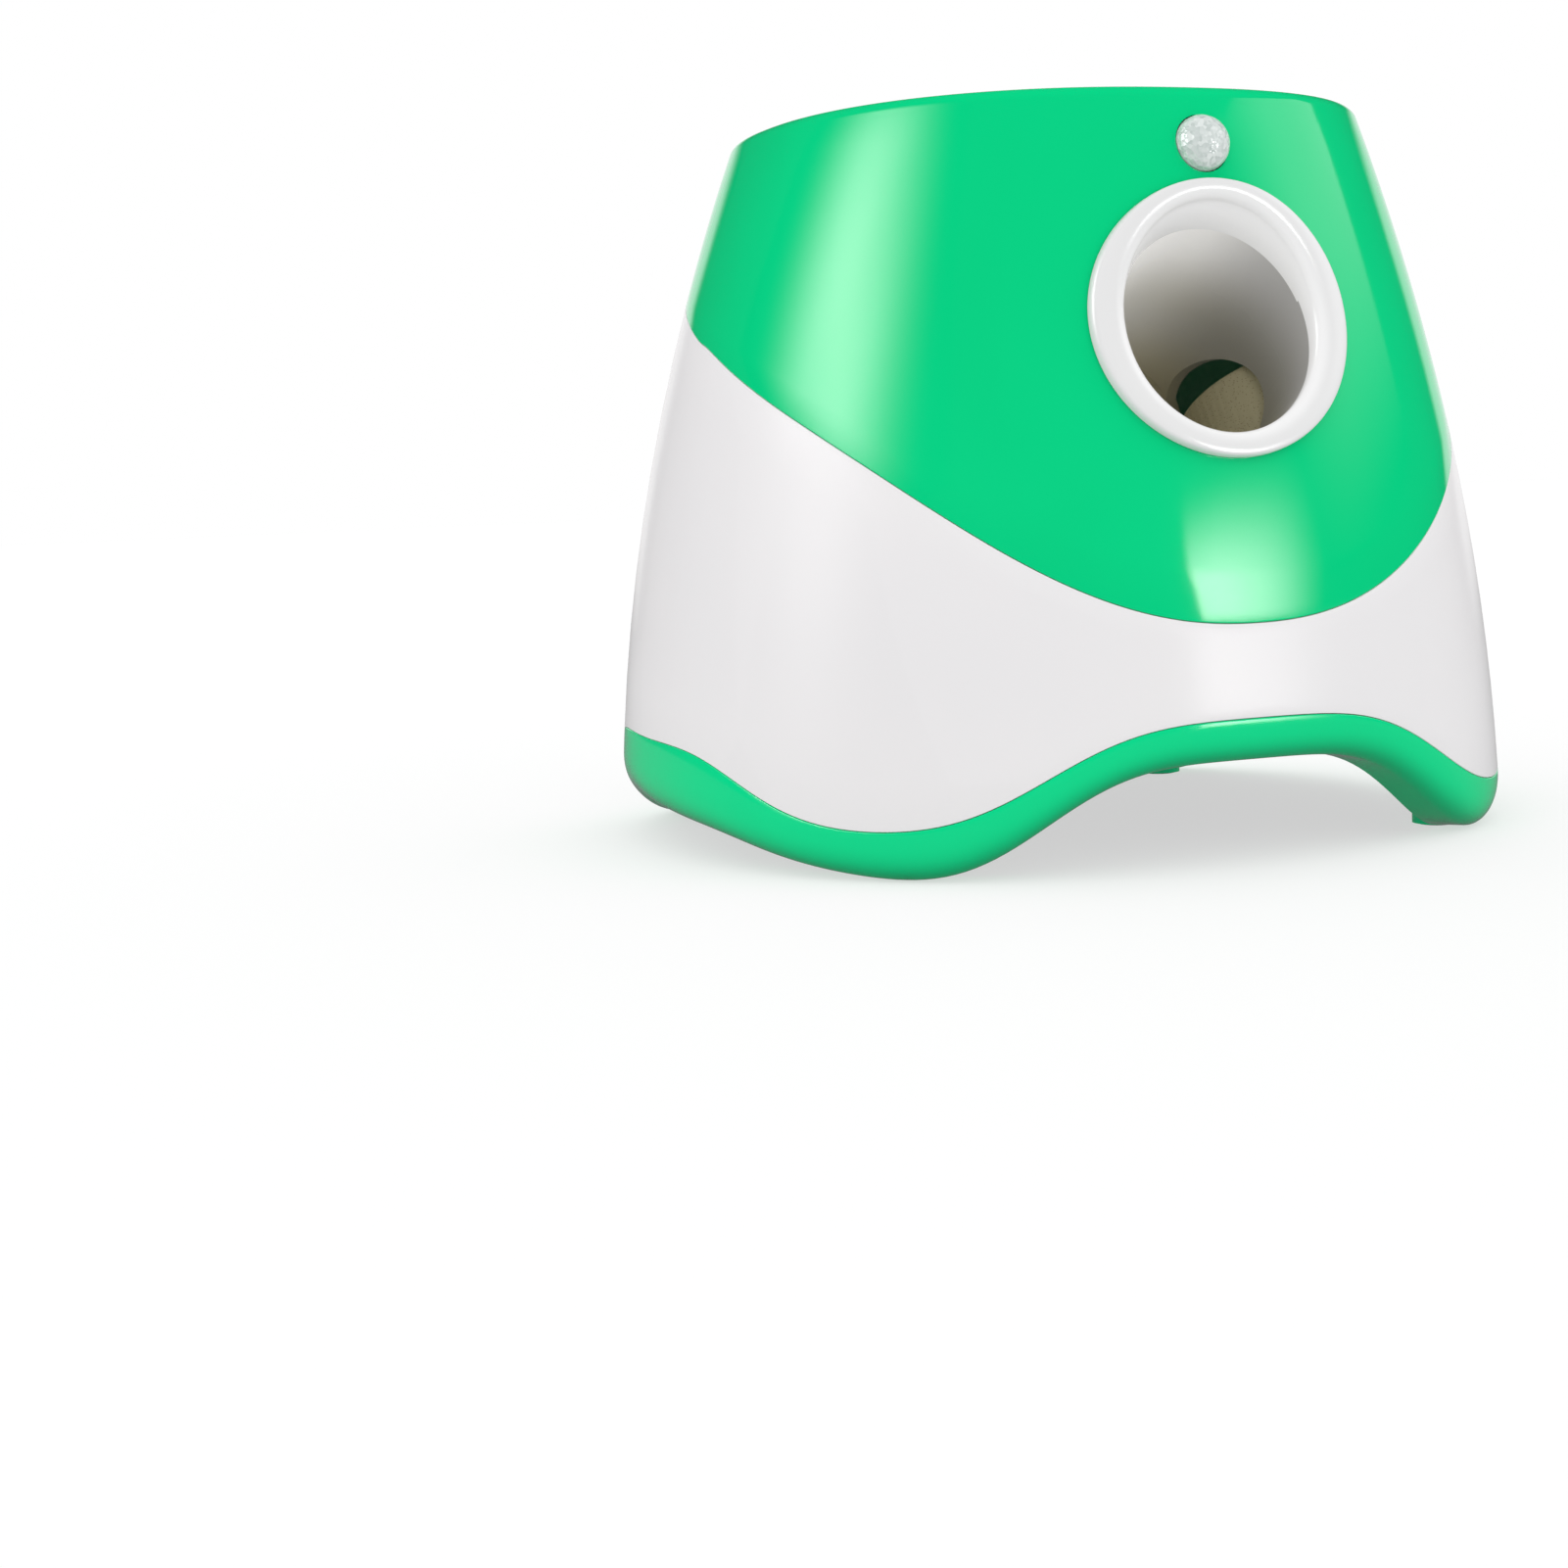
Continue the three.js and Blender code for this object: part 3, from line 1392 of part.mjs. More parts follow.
// Assembly

const pivot = new THREE.Vector3(0, -kickerReach, -pivotDepth).applyMatrix4(tubeFrame.matrix);
const gearReach = (gearModule * (kickerTeeth + pinionTeeth)) / 2;
const gearMotorPlace = { y: pivot.y + gearReach, z: pivot.z };

add(launcher, "upper_shell", upperShell(), "greenShell");
add(launcher, "lower_shell", lowerShell(), "whiteShell");
add(launcher, "base_skirt", baseSkirt(), "greenShell");
add(launcher, "hopper_bowl", hopperBowl(), "whiteShell");
add(launcher, "mouth_ring", mouthRing(), "whiteShell");

add(launcher, "launch_tube", launchTube(), "tube");
add(launcher, "tube_mount", tubeMount(), "darkPlastic");
add(tubeFrame, "breech_cap", breechCap(), "tube");
for (const [name, side] of [["left", -1], ["right", 1]]) {
  const wheel = new THREE.Group();
  wheel.position.set(side * wheelX, 0, -wheelDepth);
  wheel.rotation.x = -Math.PI / 2;
  wheel.name = "flywheel_" + name;
  tubeFrame.add(wheel);
  add(wheel, "flywheel_tyre_" + name, flywheelTyre(), "tyre");
  add(wheel, "flywheel_hub_" + name, flywheelHub(), "hub");
  add(wheel, "motor_shaft_" + name, flywheelShaft(), "steel");
  add(wheel, "flywheel_motor_" + name, flywheelMotor(), "steel");
  add(tubeFrame, "ball_sensor_" + name, gateSensor(side), "darkPlastic");
}

const kicker = new THREE.Group();
kicker.name = "kicker";
kicker.position.copy(pivot);
launcher.add(kicker);
add(kicker, "kicker_arm", kickerArm(), "darkPlastic").rotation.copy(tubeFrame.rotation);
add(kicker, "kicker_shaft", kickerShaft(), "steel");
add(kicker, "kicker_gear", kickerGear(), "palePlastic");
const driver = new THREE.Group();
driver.name = "pinion";
driver.position.set(0, gearMotorPlace.y, gearMotorPlace.z);
launcher.add(driver);
add(driver, "kicker_pinion", kickerPinion(), "brass");
add(driver, "kicker_motor", kickerMotor(), "steel");

add(sensorFrame, "sensor_lens", sensorLens(), "lens");
add(sensorFrame, "sensor_can", sensorCan(), "steel");
add(sensorFrame, "sensor_board", sensorBoard(), "circuit");

add(launcher, "base_plate", basePlate(gearMotorPlace), "darkPlastic");
add(launcher, "battery_door", batteryDoor(), "darkPlastic");
add(launcher, "door_pin", doorPin(), "steel");
for (let row = 0; row < cellRows; row++) {
  for (const side of [-1, 1]) {
    const cell = add(launcher, "battery_cell_" + (2 * row + (side > 0 ? 2 : 1)), batteryCell(), "cell");
    const start = side > 0 ? seatGap / 2 : -seatGap / 2 - cellLength - nubLength;
    cell.position.set(start, cellRowY(row), plateBottom + cellRadius);
  }
}
add(launcher, "contact_left", batteryContact(-1), "brass");
add(launcher, "contact_right", batteryContact(1), "brass");
add(launcher, "main_board", controlBoard(), "circuit");
add(launcher, "speaker", speakerUnit(), "darkPlastic");

add(panelFrame, "control_panel", controlPanel(), "darkPlastic");
add(panelFrame, "switch_housing", switchHousing(), "darkPlastic");
const rockerMesh = add(panelFrame, "rocker_switch", rockerSwitch(), "red");
rockerMesh.position.set(rocker.x, 0, -panelSize.recess + seatGap);
rockerMesh.rotation.x = -rocker.tiltAngle * degree;
add(panelFrame, "distance_button", distanceButton(), "palePlastic");
add(panelFrame, "button_switch", tactSwitch(), "steel");
const ledNames = ["near", "middle", "far"];
const ledFinishes = ["signalGreen", "amber", "red"];
ledPlaces().forEach((x, k) => {
  add(panelFrame, "led_" + ledNames[k], ledLens(), ledFinishes[k]).position.x = x;
});
add(panelFrame, "power_jack", powerJack(), "darkPlastic").position.x = jack.x;
add(panelFrame, "panel_board", panelCircuit(), "circuit");

footPlaces().forEach(({ name, x, y }) => {
  add(launcher, "rubber_foot_" + name, rubberFoot(), "rubber").position.set(x, y, 0);
  add(launcher, "body_screw_" + name, bodyScrew(), "steel").position.set(x, y, 0);
});

export default launcher;
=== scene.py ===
import math
import bpy
import bmesh
from mathutils import Matrix, Vector


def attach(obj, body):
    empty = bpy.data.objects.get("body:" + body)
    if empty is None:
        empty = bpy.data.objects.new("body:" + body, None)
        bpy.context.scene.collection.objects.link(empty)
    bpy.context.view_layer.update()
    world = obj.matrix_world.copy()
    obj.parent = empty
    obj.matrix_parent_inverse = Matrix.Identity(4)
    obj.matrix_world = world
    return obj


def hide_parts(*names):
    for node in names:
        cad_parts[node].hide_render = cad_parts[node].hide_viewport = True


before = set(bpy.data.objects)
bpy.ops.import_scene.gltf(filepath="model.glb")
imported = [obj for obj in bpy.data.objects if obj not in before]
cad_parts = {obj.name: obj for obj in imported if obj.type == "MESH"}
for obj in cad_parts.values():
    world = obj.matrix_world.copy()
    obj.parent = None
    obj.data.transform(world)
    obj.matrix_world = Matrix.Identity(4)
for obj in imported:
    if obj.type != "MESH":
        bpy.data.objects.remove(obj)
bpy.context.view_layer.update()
print("frame loaded:", len(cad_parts), "nodes")

millimetre = 0.001

# Sizes of the body in millimetres, as the solids have them
body = {
    "lift": 0.4,
    "height": 205,
    "baseWidth": 258.4,
    "baseDepth": 246.8,
    "topWidth": 174.8,
    "topDepth": 180.7,
    "widthBulge": 9.75,
    "depthBulge": 4.9,
    "fullness": 2.28,
    "wall": 2.8,
    "tongueInset": 3.2,
    "innerInset": 4.8,
    "tongueHeight": 5,
    "gap": 0.3,
    "upperSeam": (63.8, 102.9, 144.1, 154.9, 115),
    "lowerSeam": (39.1, 35.5, 20.5, 13.3, 16.9, 28.3, 32.4, 33.1, 23.8, 13.4, 20.7, 35.3, 39.2),
    "skirtEdge": (27.7, 24.2, 7.2, 0, 3.1, 8.6, 11.8, 13.8, 7.6, 0, 7.2, 24.2, 27.7),
    "columns": 288,
    "edgeRound": 0.3,
    "seamGap": 0.16,
}


def mix(a, b, share):
    return a + (b - a) * share


def halfWidth(z):
    t = z / body["height"]
    straight = mix(body["baseWidth"], body["topWidth"], t) / 2
    return straight + 4 * body["widthBulge"] * t * (1 - t)


def halfDepth(z):
    t = z / body["height"]
    straight = mix(body["baseDepth"], body["topDepth"], t) / 2
    return straight + 4 * body["depthBulge"] * t * (1 - t)


def wallTilt(z):
    t = z / body["height"]
    fall = (body["baseDepth"] - body["topDepth"]) / 2 - 4 * body["depthBulge"] * (1 - 2 * t)
    return math.atan2(fall, body["height"])


# Smooth closed curve through heights given at even angles from the front to the back
def wave(heights, angle):
    last = len(heights) - 1
    total = 0
    for k in range(last + 1):
        weight = 0
        for j, value in enumerate(heights):
            end = 0.5 if j in (0, last) else 1
            weight += value * end * math.cos(math.pi * k * j / last)
        end = 0.5 if k in (0, last) else 1
        total += 2 / last * weight * end * math.cos(k * angle)
    return total


def wallPoint(angle, z, inset):
    power = 2 / body["fullness"]
    across, along = math.sin(angle), math.cos(angle)
    x = math.copysign(abs(across) ** power, across) * (halfWidth(z) - inset)
    y = -math.copysign(abs(along) ** power, along) * (halfDepth(z) - inset)
    return Vector((x, y, z))


# Below nought inside the wall, above it outside
def wallSide(point, lift):
    x = abs(point.x) / (halfWidth(point.z) + lift)
    y = abs(point.y) / (halfDepth(point.z) + lift)
    return x ** body["fullness"] + y ** body["fullness"] - 1


# Angles at which the columns of the body stand evenly along its outline
def evenAngles(count):
    fine = 8192
    points = [wallPoint(2 * math.pi * i / fine, 100, 0) for i in range(fine + 1)]
    lengths = [0]
    for a, b in zip(points, points[1:]):
        lengths.append(lengths[-1] + (b - a).length)
    angles, place = [], 0
    for i in range(count):
        target = lengths[-1] * i / count
        while lengths[place + 1] < target:
            place += 1
        share = (target - lengths[place]) / (lengths[place + 1] - lengths[place])
        angles.append(2 * math.pi * (place + share) / fine)
    return angles


bodyAngles = evenAngles(body["columns"])


def meshObject(name, points, faces, lift=True):
    up = Vector((0, 0, body["lift"] if lift else 0))
    mesh = bpy.data.meshes.new(name)
    mesh.from_pydata([(Vector(p) + up) * millimetre for p in points], [], faces)
    mesh.validate()
    made = bmesh.new()
    made.from_mesh(mesh)
    bmesh.ops.remove_doubles(made, verts=made.verts, dist=1e-6)
    bmesh.ops.recalc_face_normals(made, faces=made.faces)
    made.to_mesh(mesh)
    made.free()
    piece = bpy.data.objects.new(name, mesh)
    bpy.context.scene.collection.objects.link(piece)
    return piece


def loft(name, loops, closed=True, lift=True):
    count = len(loops[0])
    points = [p for loop in loops for p in loop]
    faces = []
    spans = len(loops) if closed else len(loops) - 1
    for j in range(spans):
        low, high = j * count, (j + 1) % len(loops) * count
        for i in range(count):
            k = (i + 1) % count
            faces.append((low + i, low + k, high + k, high + i))
    if not closed:
        faces.append(tuple(reversed(range(count))))
        faces.append(tuple(range((len(loops) - 1) * count, len(loops) * count)))
    return meshObject(name, points, faces, lift)


def bodyBand(name, profileAt):
    columns = [[wallPoint(a, z, inset) for inset, z in profileAt(a)] for a in bodyAngles]
    return loft(name, [[column[j] for column in columns] for j in range(len(columns[0]))])


def quarter(steps):
    return [math.pi / 2 * k / steps for k in range(steps + 1)]


# Frames of the slanted tube, of the sensor and of the panel at the back
launch = {
    "angle": math.radians(32),
    "mouthHeight": 143.4,
    "bore": 28,
    "tube": 30.5,
    "ring": 38.6,
    "ringShare": 0.966,
    "wheelX": 51.5,
    "wheelDepth": 58,
    "wheelRadius": 31,
    "wheelWidth": 22,
    "chuteRise": 15,
    "plateGap": 1.5,
    "ball": 25,
    "restClearance": 6.5,
    "capWall": 3,
    "chute": 28.5,
    "chuteOuter": 31,
    "sides": 128,
}
launch["mouthY"] = -halfDepth(launch["mouthHeight"])
nip = math.sqrt((launch["wheelRadius"] + launch["ball"]) ** 2 - launch["wheelX"] ** 2)
ballRest = launch["wheelDepth"] + nip + launch["restClearance"]
launch["capDepth"] = ballRest + launch["ball"] + body["gap"]
launch["chuteTop"] = launch["mouthHeight"] + launch["chuteRise"]
dropReach = (launch["chuteRise"] + ballRest * math.sin(launch["angle"])) / math.cos(launch["angle"])
launch["dropY"] = (
    launch["mouthY"] + ballRest * math.cos(launch["angle"]) + dropReach * math.sin(launch["angle"])
)
launch["pivotDepth"] = launch["capDepth"] + launch["capWall"] + body["gap"]
launch["plateHead"] = -launch["wheelWidth"] / 2 - launch["plateGap"]
tubeOut = Vector((0, -math.cos(launch["angle"]), math.sin(launch["angle"])))
tubeUp = Vector((0, math.sin(launch["angle"]), math.cos(launch["angle"])))
rightward = Vector((1, 0, 0))


def frameMatrix(turnX, turnZ, place):
    up = Vector((0, 0, body["lift"]))
    spin = Matrix.Rotation(turnZ, 4, "Z") @ Matrix.Rotation(turnX, 4, "X")
    return Matrix.Translation(Vector(place) + up) @ spin


tubeFrame = frameMatrix(math.pi / 2 - launch["angle"], 0, (0, launch["mouthY"], launch["mouthHeight"]))
sensorHeight, panelHeight = 189.6, 82
sensorFrame = frameMatrix(
    math.pi / 2 - wallTilt(sensorHeight), 0, (0, -halfDepth(sensorHeight), sensorHeight)
)
panelFrame = frameMatrix(
    math.pi / 2 - wallTilt(panelHeight), math.pi, (0, halfDepth(panelHeight), panelHeight)
)
bodyFrame = frameMatrix(0, 0, (0, 0, 0))


def turned(name, profile, sides, matrix=bodyFrame):
    points, rings = [], []
    for radius, height in profile:
        if radius < 1e-6:
            rings.append([len(points)])
            points.append((0, 0, height))
        else:
            rings.append(list(range(len(points), len(points) + sides)))
            for i in range(sides):
                a = 2 * math.pi * i / sides
                points.append((radius * math.cos(a), radius * math.sin(a), height))
    faces = []
    closed = len(rings[0]) > 1
    for j in range(len(rings) if closed else len(rings) - 1):
        low, high = rings[j], rings[(j + 1) % len(rings)]
        for i in range(sides):
            k = (i + 1) % sides
            if len(low) == 1:
                faces.append((low[0], high[k], high[i]))
            elif len(high) == 1:
                faces.append((low[i], low[k], high[0]))
            else:
                faces.append((low[i], low[k], high[k], high[i]))
    return meshObject(name, [matrix @ Vector(p) for p in points], faces, lift=False)


def rodMesh(name, radius, low, high, matrix, sides=96):
    return turned(name, [(0, low), (radius, low), (radius, high), (0, high)], sides, matrix)


def blockMesh(name, x, y, z, matrix=bodyFrame):
    points = [matrix @ Vector((a, b, c)) for a in x for b in y for c in z]
    faces = [(0, 1, 3, 2), (4, 6, 7, 5), (0, 4, 5, 1), (2, 3, 7, 6), (0, 2, 6, 4), (1, 5, 7, 3)]
    return meshObject(name, points, faces, lift=False)


def roundedPlate(name, width, height, corner, low, high, matrix):
    loop = []
    for cx, cy, start in ((1, 1, 0), (-1, 1, 1), (-1, -1, 2), (1, -1, 3)):
        for a in quarter(10):
            turn = a + start * math.pi / 2
            x = cx * (width / 2 - corner) + corner * math.cos(turn)
            y = cy * (height / 2 - corner) + corner * math.sin(turn)
            loop.append((x, y))
    loops = [[matrix @ Vector((x, y, z)) for x, y in loop] for z in (low, high)]
    return loft(name, loops, closed=False, lift=False)


def combine(piece, tools):
    for kind, tool in tools:
        step = piece.modifiers.new("step", "BOOLEAN")
        step.operation = kind
        step.solver = "MANIFOLD"
        step.object = tool
    bpy.context.view_layer.update()
    made = piece.evaluated_get(bpy.context.evaluated_depsgraph_get())
    piece.data = bpy.data.meshes.new_from_object(made)
    piece.modifiers.clear()
    for _, tool in tools:
        bpy.data.objects.remove(tool)
    if not piece.data.polygons:
        raise RuntimeError(piece.name + " came out empty")
    return piece


def smooth(piece, degrees=32):
    mesh = piece.data
    mesh.polygons.foreach_set("use_smooth", [True] * len(mesh.polygons))
    mesh.set_sharp_from_angle(angle=math.radians(degrees))
    return piece


# Gives another material to the faces whose middle passes a test in millimetres
def tintFaces(piece, material, test):
    piece.data.materials.append(material)
    for face in piece.data.polygons:
        if test(face.center / millimetre - Vector((0, 0, body["lift"]))):
            face.material_index = len(piece.data.materials) - 1
    return piece


def dress(piece, material, carrier, slot, *nodes):
    piece.data.materials.clear()
    piece.data.materials.append(material)
    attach(piece, carrier)
    if nodes:
        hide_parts(*nodes)
    return piece


# Node groups that the materials share
def newGroup(name, inputs, outputs):
    group = bpy.data.node_groups.new(name, "ShaderNodeTree")
    for title, kind, value in inputs:
        socket = group.interface.new_socket(name=title, in_out="INPUT", socket_type=kind)
        socket.default_value = value
    for title, kind in outputs:
        group.interface.new_socket(name=title, in_out="OUTPUT", socket_type=kind)
    return group, group.nodes.new("NodeGroupInput"), group.nodes.new("NodeGroupOutput")


def addNode(tree, kind, **settings):
    node = tree.nodes.new(kind)
    for key, value in settings.items():
        setattr(node, key, value)
    return node


# Sets a socket to a value or links it to another socket
def feed(tree, socket, value):
    if isinstance(value, (int, float, tuple, Vector)):
        socket.default_value = value
    else:
        tree.links.new(value, socket)


def noiseNode(tree, vector, scale, detail=3, roughness=0.5):
    node = addNode(tree, "ShaderNodeTexNoise")
    inputs = {"Vector": vector, "Scale": scale, "Detail": detail, "Roughness": roughness}
    for key, value in inputs.items():
        feed(tree, node.inputs[key], value)
    return node.outputs["Fac"]


def mathNode(tree, operation, *values):
    node = addNode(tree, "ShaderNodeMath", operation=operation)
    for socket, value in zip(node.inputs, values):
        feed(tree, socket, value)
    return node.outputs[0]


def vectorNode(tree, operation, *values):
    node = addNode(tree, "ShaderNodeVectorMath", operation=operation)
    for socket, value in zip(node.inputs, values):
        feed(tree, socket, value)
    return node.outputs["Value" if operation in ("DOT_PRODUCT", "LENGTH") else "Vector"]


def splitVector(tree, vector):
    node = addNode(tree, "ShaderNodeSeparateXYZ")
    tree.links.new(vector, node.inputs[0])
    return node.outputs


def smoothStep(tree, value, start, end, low=0, high=1):
    node = addNode(tree, "ShaderNodeMapRange", interpolation_type="SMOOTHSTEP")
    inputs = {"Value": value, "From Min": start, "From Max": end, "To Min": low, "To Max": high}
    for key, given in inputs.items():
        feed(tree, node.inputs[key], given)
    return node.outputs[0]


def mixColour(tree, share, a, b, blend="MIX"):
    node = addNode(tree, "ShaderNodeMix", data_type="RGBA", blend_type=blend)
    for place, value in ((0, share), (6, a), (7, b)):
        feed(tree, node.inputs[place], value)
    return node.outputs[2]


def objectPlace(tree):
    return addNode(tree, "ShaderNodeTexCoord").outputs["Object"]


def toneDriftGroup():
    group, entry, out = newGroup(
        "toneDrift",
        [
            ("Colour", "NodeSocketColor", (0.8, 0.8, 0.8, 1)),
            ("Far Colour", "NodeSocketColor", (0.7, 0.7, 0.7, 1)),
            ("Amount", "NodeSocketFloat", 0.3),
            ("Scale", "NodeSocketFloat", 12),
        ],
        [("Colour", "NodeSocketColor"), ("Mask", "NodeSocketFloat")],
    )
    place = objectPlace(group)
    broad = noiseNode(group, place, entry.outputs["Scale"], 2)
    spread = smoothStep(group, broad, 0.3, 0.7)
    share = mathNode(group, "MULTIPLY", spread, entry.outputs["Amount"])
    tinted = mixColour(group, share, entry.outputs["Colour"], entry.outputs["Far Colour"])
    group.links.new(tinted, out.inputs["Colour"])
    group.links.new(spread, out.inputs["Mask"])
    return group


def mouldGrainGroup():
    group, entry, out = newGroup(
        "mouldGrain",
        [
            ("Scale", "NodeSocketFloat", 900),
            ("Waviness", "NodeSocketFloat", 0.5),
            ("Wave Scale", "NodeSocketFloat", 30),
        ],
        [("Height", "NodeSocketFloat")],
    )
    place = objectPlace(group)
    grain = noiseNode(group, place, entry.outputs["Scale"], 4, 0.6)
    slow = noiseNode(group, place, entry.outputs["Wave Scale"], 1)
    waves = mathNode(group, "MULTIPLY", slow, entry.outputs["Waviness"])
    group.links.new(mathNode(group, "ADD", grain, waves), out.inputs["Height"])
    return group


def handlingGroup():
    group, entry, out = newGroup(
        "handling",
        [
            ("Roughness", "NodeSocketFloat", 0.3),
            ("Smears", "NodeSocketFloat", 0.08),
            ("Specks", "NodeSocketFloat", 0.05),
            ("Scale", "NodeSocketFloat", 16),
        ],
        [("Roughness", "NodeSocketFloat")],
    )
    place = objectPlace(group)
    smears = noiseNode(group, place, entry.outputs["Scale"], 5, 0.6)
    specks = noiseNode(group, place, 700, 2)
    a = mathNode(group, "MULTIPLY", mathNode(group, "SUBTRACT", smears, 0.5), entry.outputs["Smears"])
    b = mathNode(group, "MULTIPLY", mathNode(group, "SUBTRACT", specks, 0.5), entry.outputs["Specks"])
    total = mathNode(group, "ADD", entry.outputs["Roughness"], mathNode(group, "ADD", a, b))
    group.links.new(total, out.inputs["Roughness"])
    return group


def foamPoresGroup():
    group, entry, out = newGroup(
        "foamPores",
        [("Scale", "NodeSocketFloat", 1400), ("Softness", "NodeSocketFloat", 0.35)],
        [("Height", "NodeSocketFloat"), ("Pores", "NodeSocketFloat")],
    )
    place = objectPlace(group)
    cells = addNode(group, "ShaderNodeTexVoronoi")
    group.links.new(place, cells.inputs["Vector"])
    group.links.new(entry.outputs["Scale"], cells.inputs["Scale"])
    pores = smoothStep(group, cells.outputs["Distance"], 0, entry.outputs["Softness"])
    lumps = noiseNode(group, place, 160, 3)
    group.links.new(mathNode(group, "ADD", pores, lumps), out.inputs["Height"])
    group.links.new(pores, out.inputs["Pores"])
    return group


def drawnLinesGroup():
    group, entry, out = newGroup(
        "drawnLines",
        [
            ("Stretch", "NodeSocketVector", (900, 900, 30)),
            ("Roughness", "NodeSocketFloat", 0.3),
            ("Spread", "NodeSocketFloat", 0.15),
        ],
        [("Height", "NodeSocketFloat"), ("Roughness", "NodeSocketFloat")],
    )
    scaled = vectorNode(group, "MULTIPLY", objectPlace(group), entry.outputs["Stretch"])
    lines = noiseNode(group, scaled, 1, 3)
    rough = mathNode(
        group, "ADD", entry.outputs["Roughness"],
        mathNode(group, "MULTIPLY", mathNode(group, "SUBTRACT", lines, 0.5), entry.outputs["Spread"]),
    )
    group.links.new(lines, out.inputs["Height"])
    group.links.new(rough, out.inputs["Roughness"])
    return group


# Share of light on a panel: full round its peak, nothing beyond its reach
def panelFadeGroup():
    group, entry, out = newGroup(
        "panelFade",
        [
            ("Peak", "NodeSocketVector", (0, 0, 0)),
            ("Reach", "NodeSocketVector", (1, 1, 1)),
            ("Core", "NodeSocketVector", (0.5, 0.5, 0)),
            ("Power", "NodeSocketFloat", 1),
        ],
        [("Mask", "NodeSocketFloat")],
    )
    away = vectorNode(group, "SUBTRACT", objectPlace(group), entry.outputs["Peak"])
    shares = splitVector(group, vectorNode(group, "DIVIDE", away, entry.outputs["Reach"]))
    cores = splitVector(group, entry.outputs["Core"])
    fades = [
        smoothStep(group, mathNode(group, "ABSOLUTE", shares[k]), cores[k], 1, 1, 0) for k in range(2)
    ]
    both = mathNode(group, "MULTIPLY", *fades)
    group.links.new(mathNode(group, "POWER", both, entry.outputs["Power"]), out.inputs["Mask"])
    return group


groups = {
    "toneDrift": toneDriftGroup(),
    "mouldGrain": mouldGrainGroup(),
    "handling": handlingGroup(),
    "foamPores": foamPoresGroup(),
    "drawnLines": drawnLinesGroup(),
    "panelFade": panelFadeGroup(),
}
print("node groups made")


def linear(red, green, blue):
    def one(value):
        value /= 255
        return value / 12.92 if value <= 0.04045 else ((value + 0.055) / 1.055) ** 2.4
    return (one(red), one(green), one(blue), 1)


def useGroup(tree, name, **values):
    node = addNode(tree, "ShaderNodeGroup", node_tree=groups[name])
    for key, value in values.items():
        node.inputs[key.replace("_", " ")].default_value = value
    return node


def bumpFrom(tree, shader, height, strength, distance):
    node = addNode(tree, "ShaderNodeBump")
    node.inputs["Strength"].default_value = strength
    node.inputs["Distance"].default_value = distance
    tree.links.new(height, node.inputs["Height"])
    tree.links.new(node.outputs["Normal"], shader.inputs["Normal"])


def roughen(tree, shader, **values):
    marks = useGroup(tree, "handling", **values)
    tree.links.new(marks.outputs["Roughness"], shader.inputs["Roughness"])


def grainOn(tree, shader, strength, distance=0.0002, **values):
    skin = useGroup(tree, "mouldGrain", **values)
    bumpFrom(tree, shader, skin.outputs["Height"], strength, distance)


def newMaterial(name):
    material = bpy.data.materials.new(name)
    material.use_nodes = True
    return material, material.node_tree, material.node_tree.nodes["Principled BSDF"]


def plastic(name, colour, farColour, drift=0.4, roughness=0.3, smears=0.08, specks=0.04,
            grain=900, bump=0.05, waviness=0.5, specular=0.5, coat=0.0):
    material, tree, shader = newMaterial(name)
    tone = useGroup(tree, "toneDrift", Colour=linear(*colour), Far_Colour=linear(*farColour), Amount=drift)
    tree.links.new(tone.outputs["Colour"], shader.inputs["Base Color"])
    roughen(tree, shader, Roughness=roughness, Smears=smears, Specks=specks)
    shader.inputs["Specular IOR Level"].default_value = specular
    shader.inputs["Coat Weight"].default_value = coat
    shader.inputs["Coat Roughness"].default_value = 0.08
    grainOn(tree, shader, bump, Scale=grain, Waviness=waviness)
    return material


mouthPlace = Vector((0, launch["mouthY"], launch["mouthHeight"] + body["lift"])) * millimetre
# Distances from the mouth in millimetres over which the tone of the tube changes. The darker tone going in
# and the shade on the right are painted shade; the glow is painted light on the upper left wall
tubeTone = {
    "near": (236, 235, 233),
    "middle": (186, 183, 170),
    "middleSpan": (4, 34),
    "deep": (206, 198, 166),
    "deepSpan": (36, 62),
    "shade": 0.45,
    "shadeSpan": (2, 27, 0, 0.85),
    "roughness": 0.42,
    "glow": 0.27,
    "glowUp": (-14, 26),
    "glowAcross": (24, -16, 0.1),
    "glowDepth": (74, 30, 0.2),
}
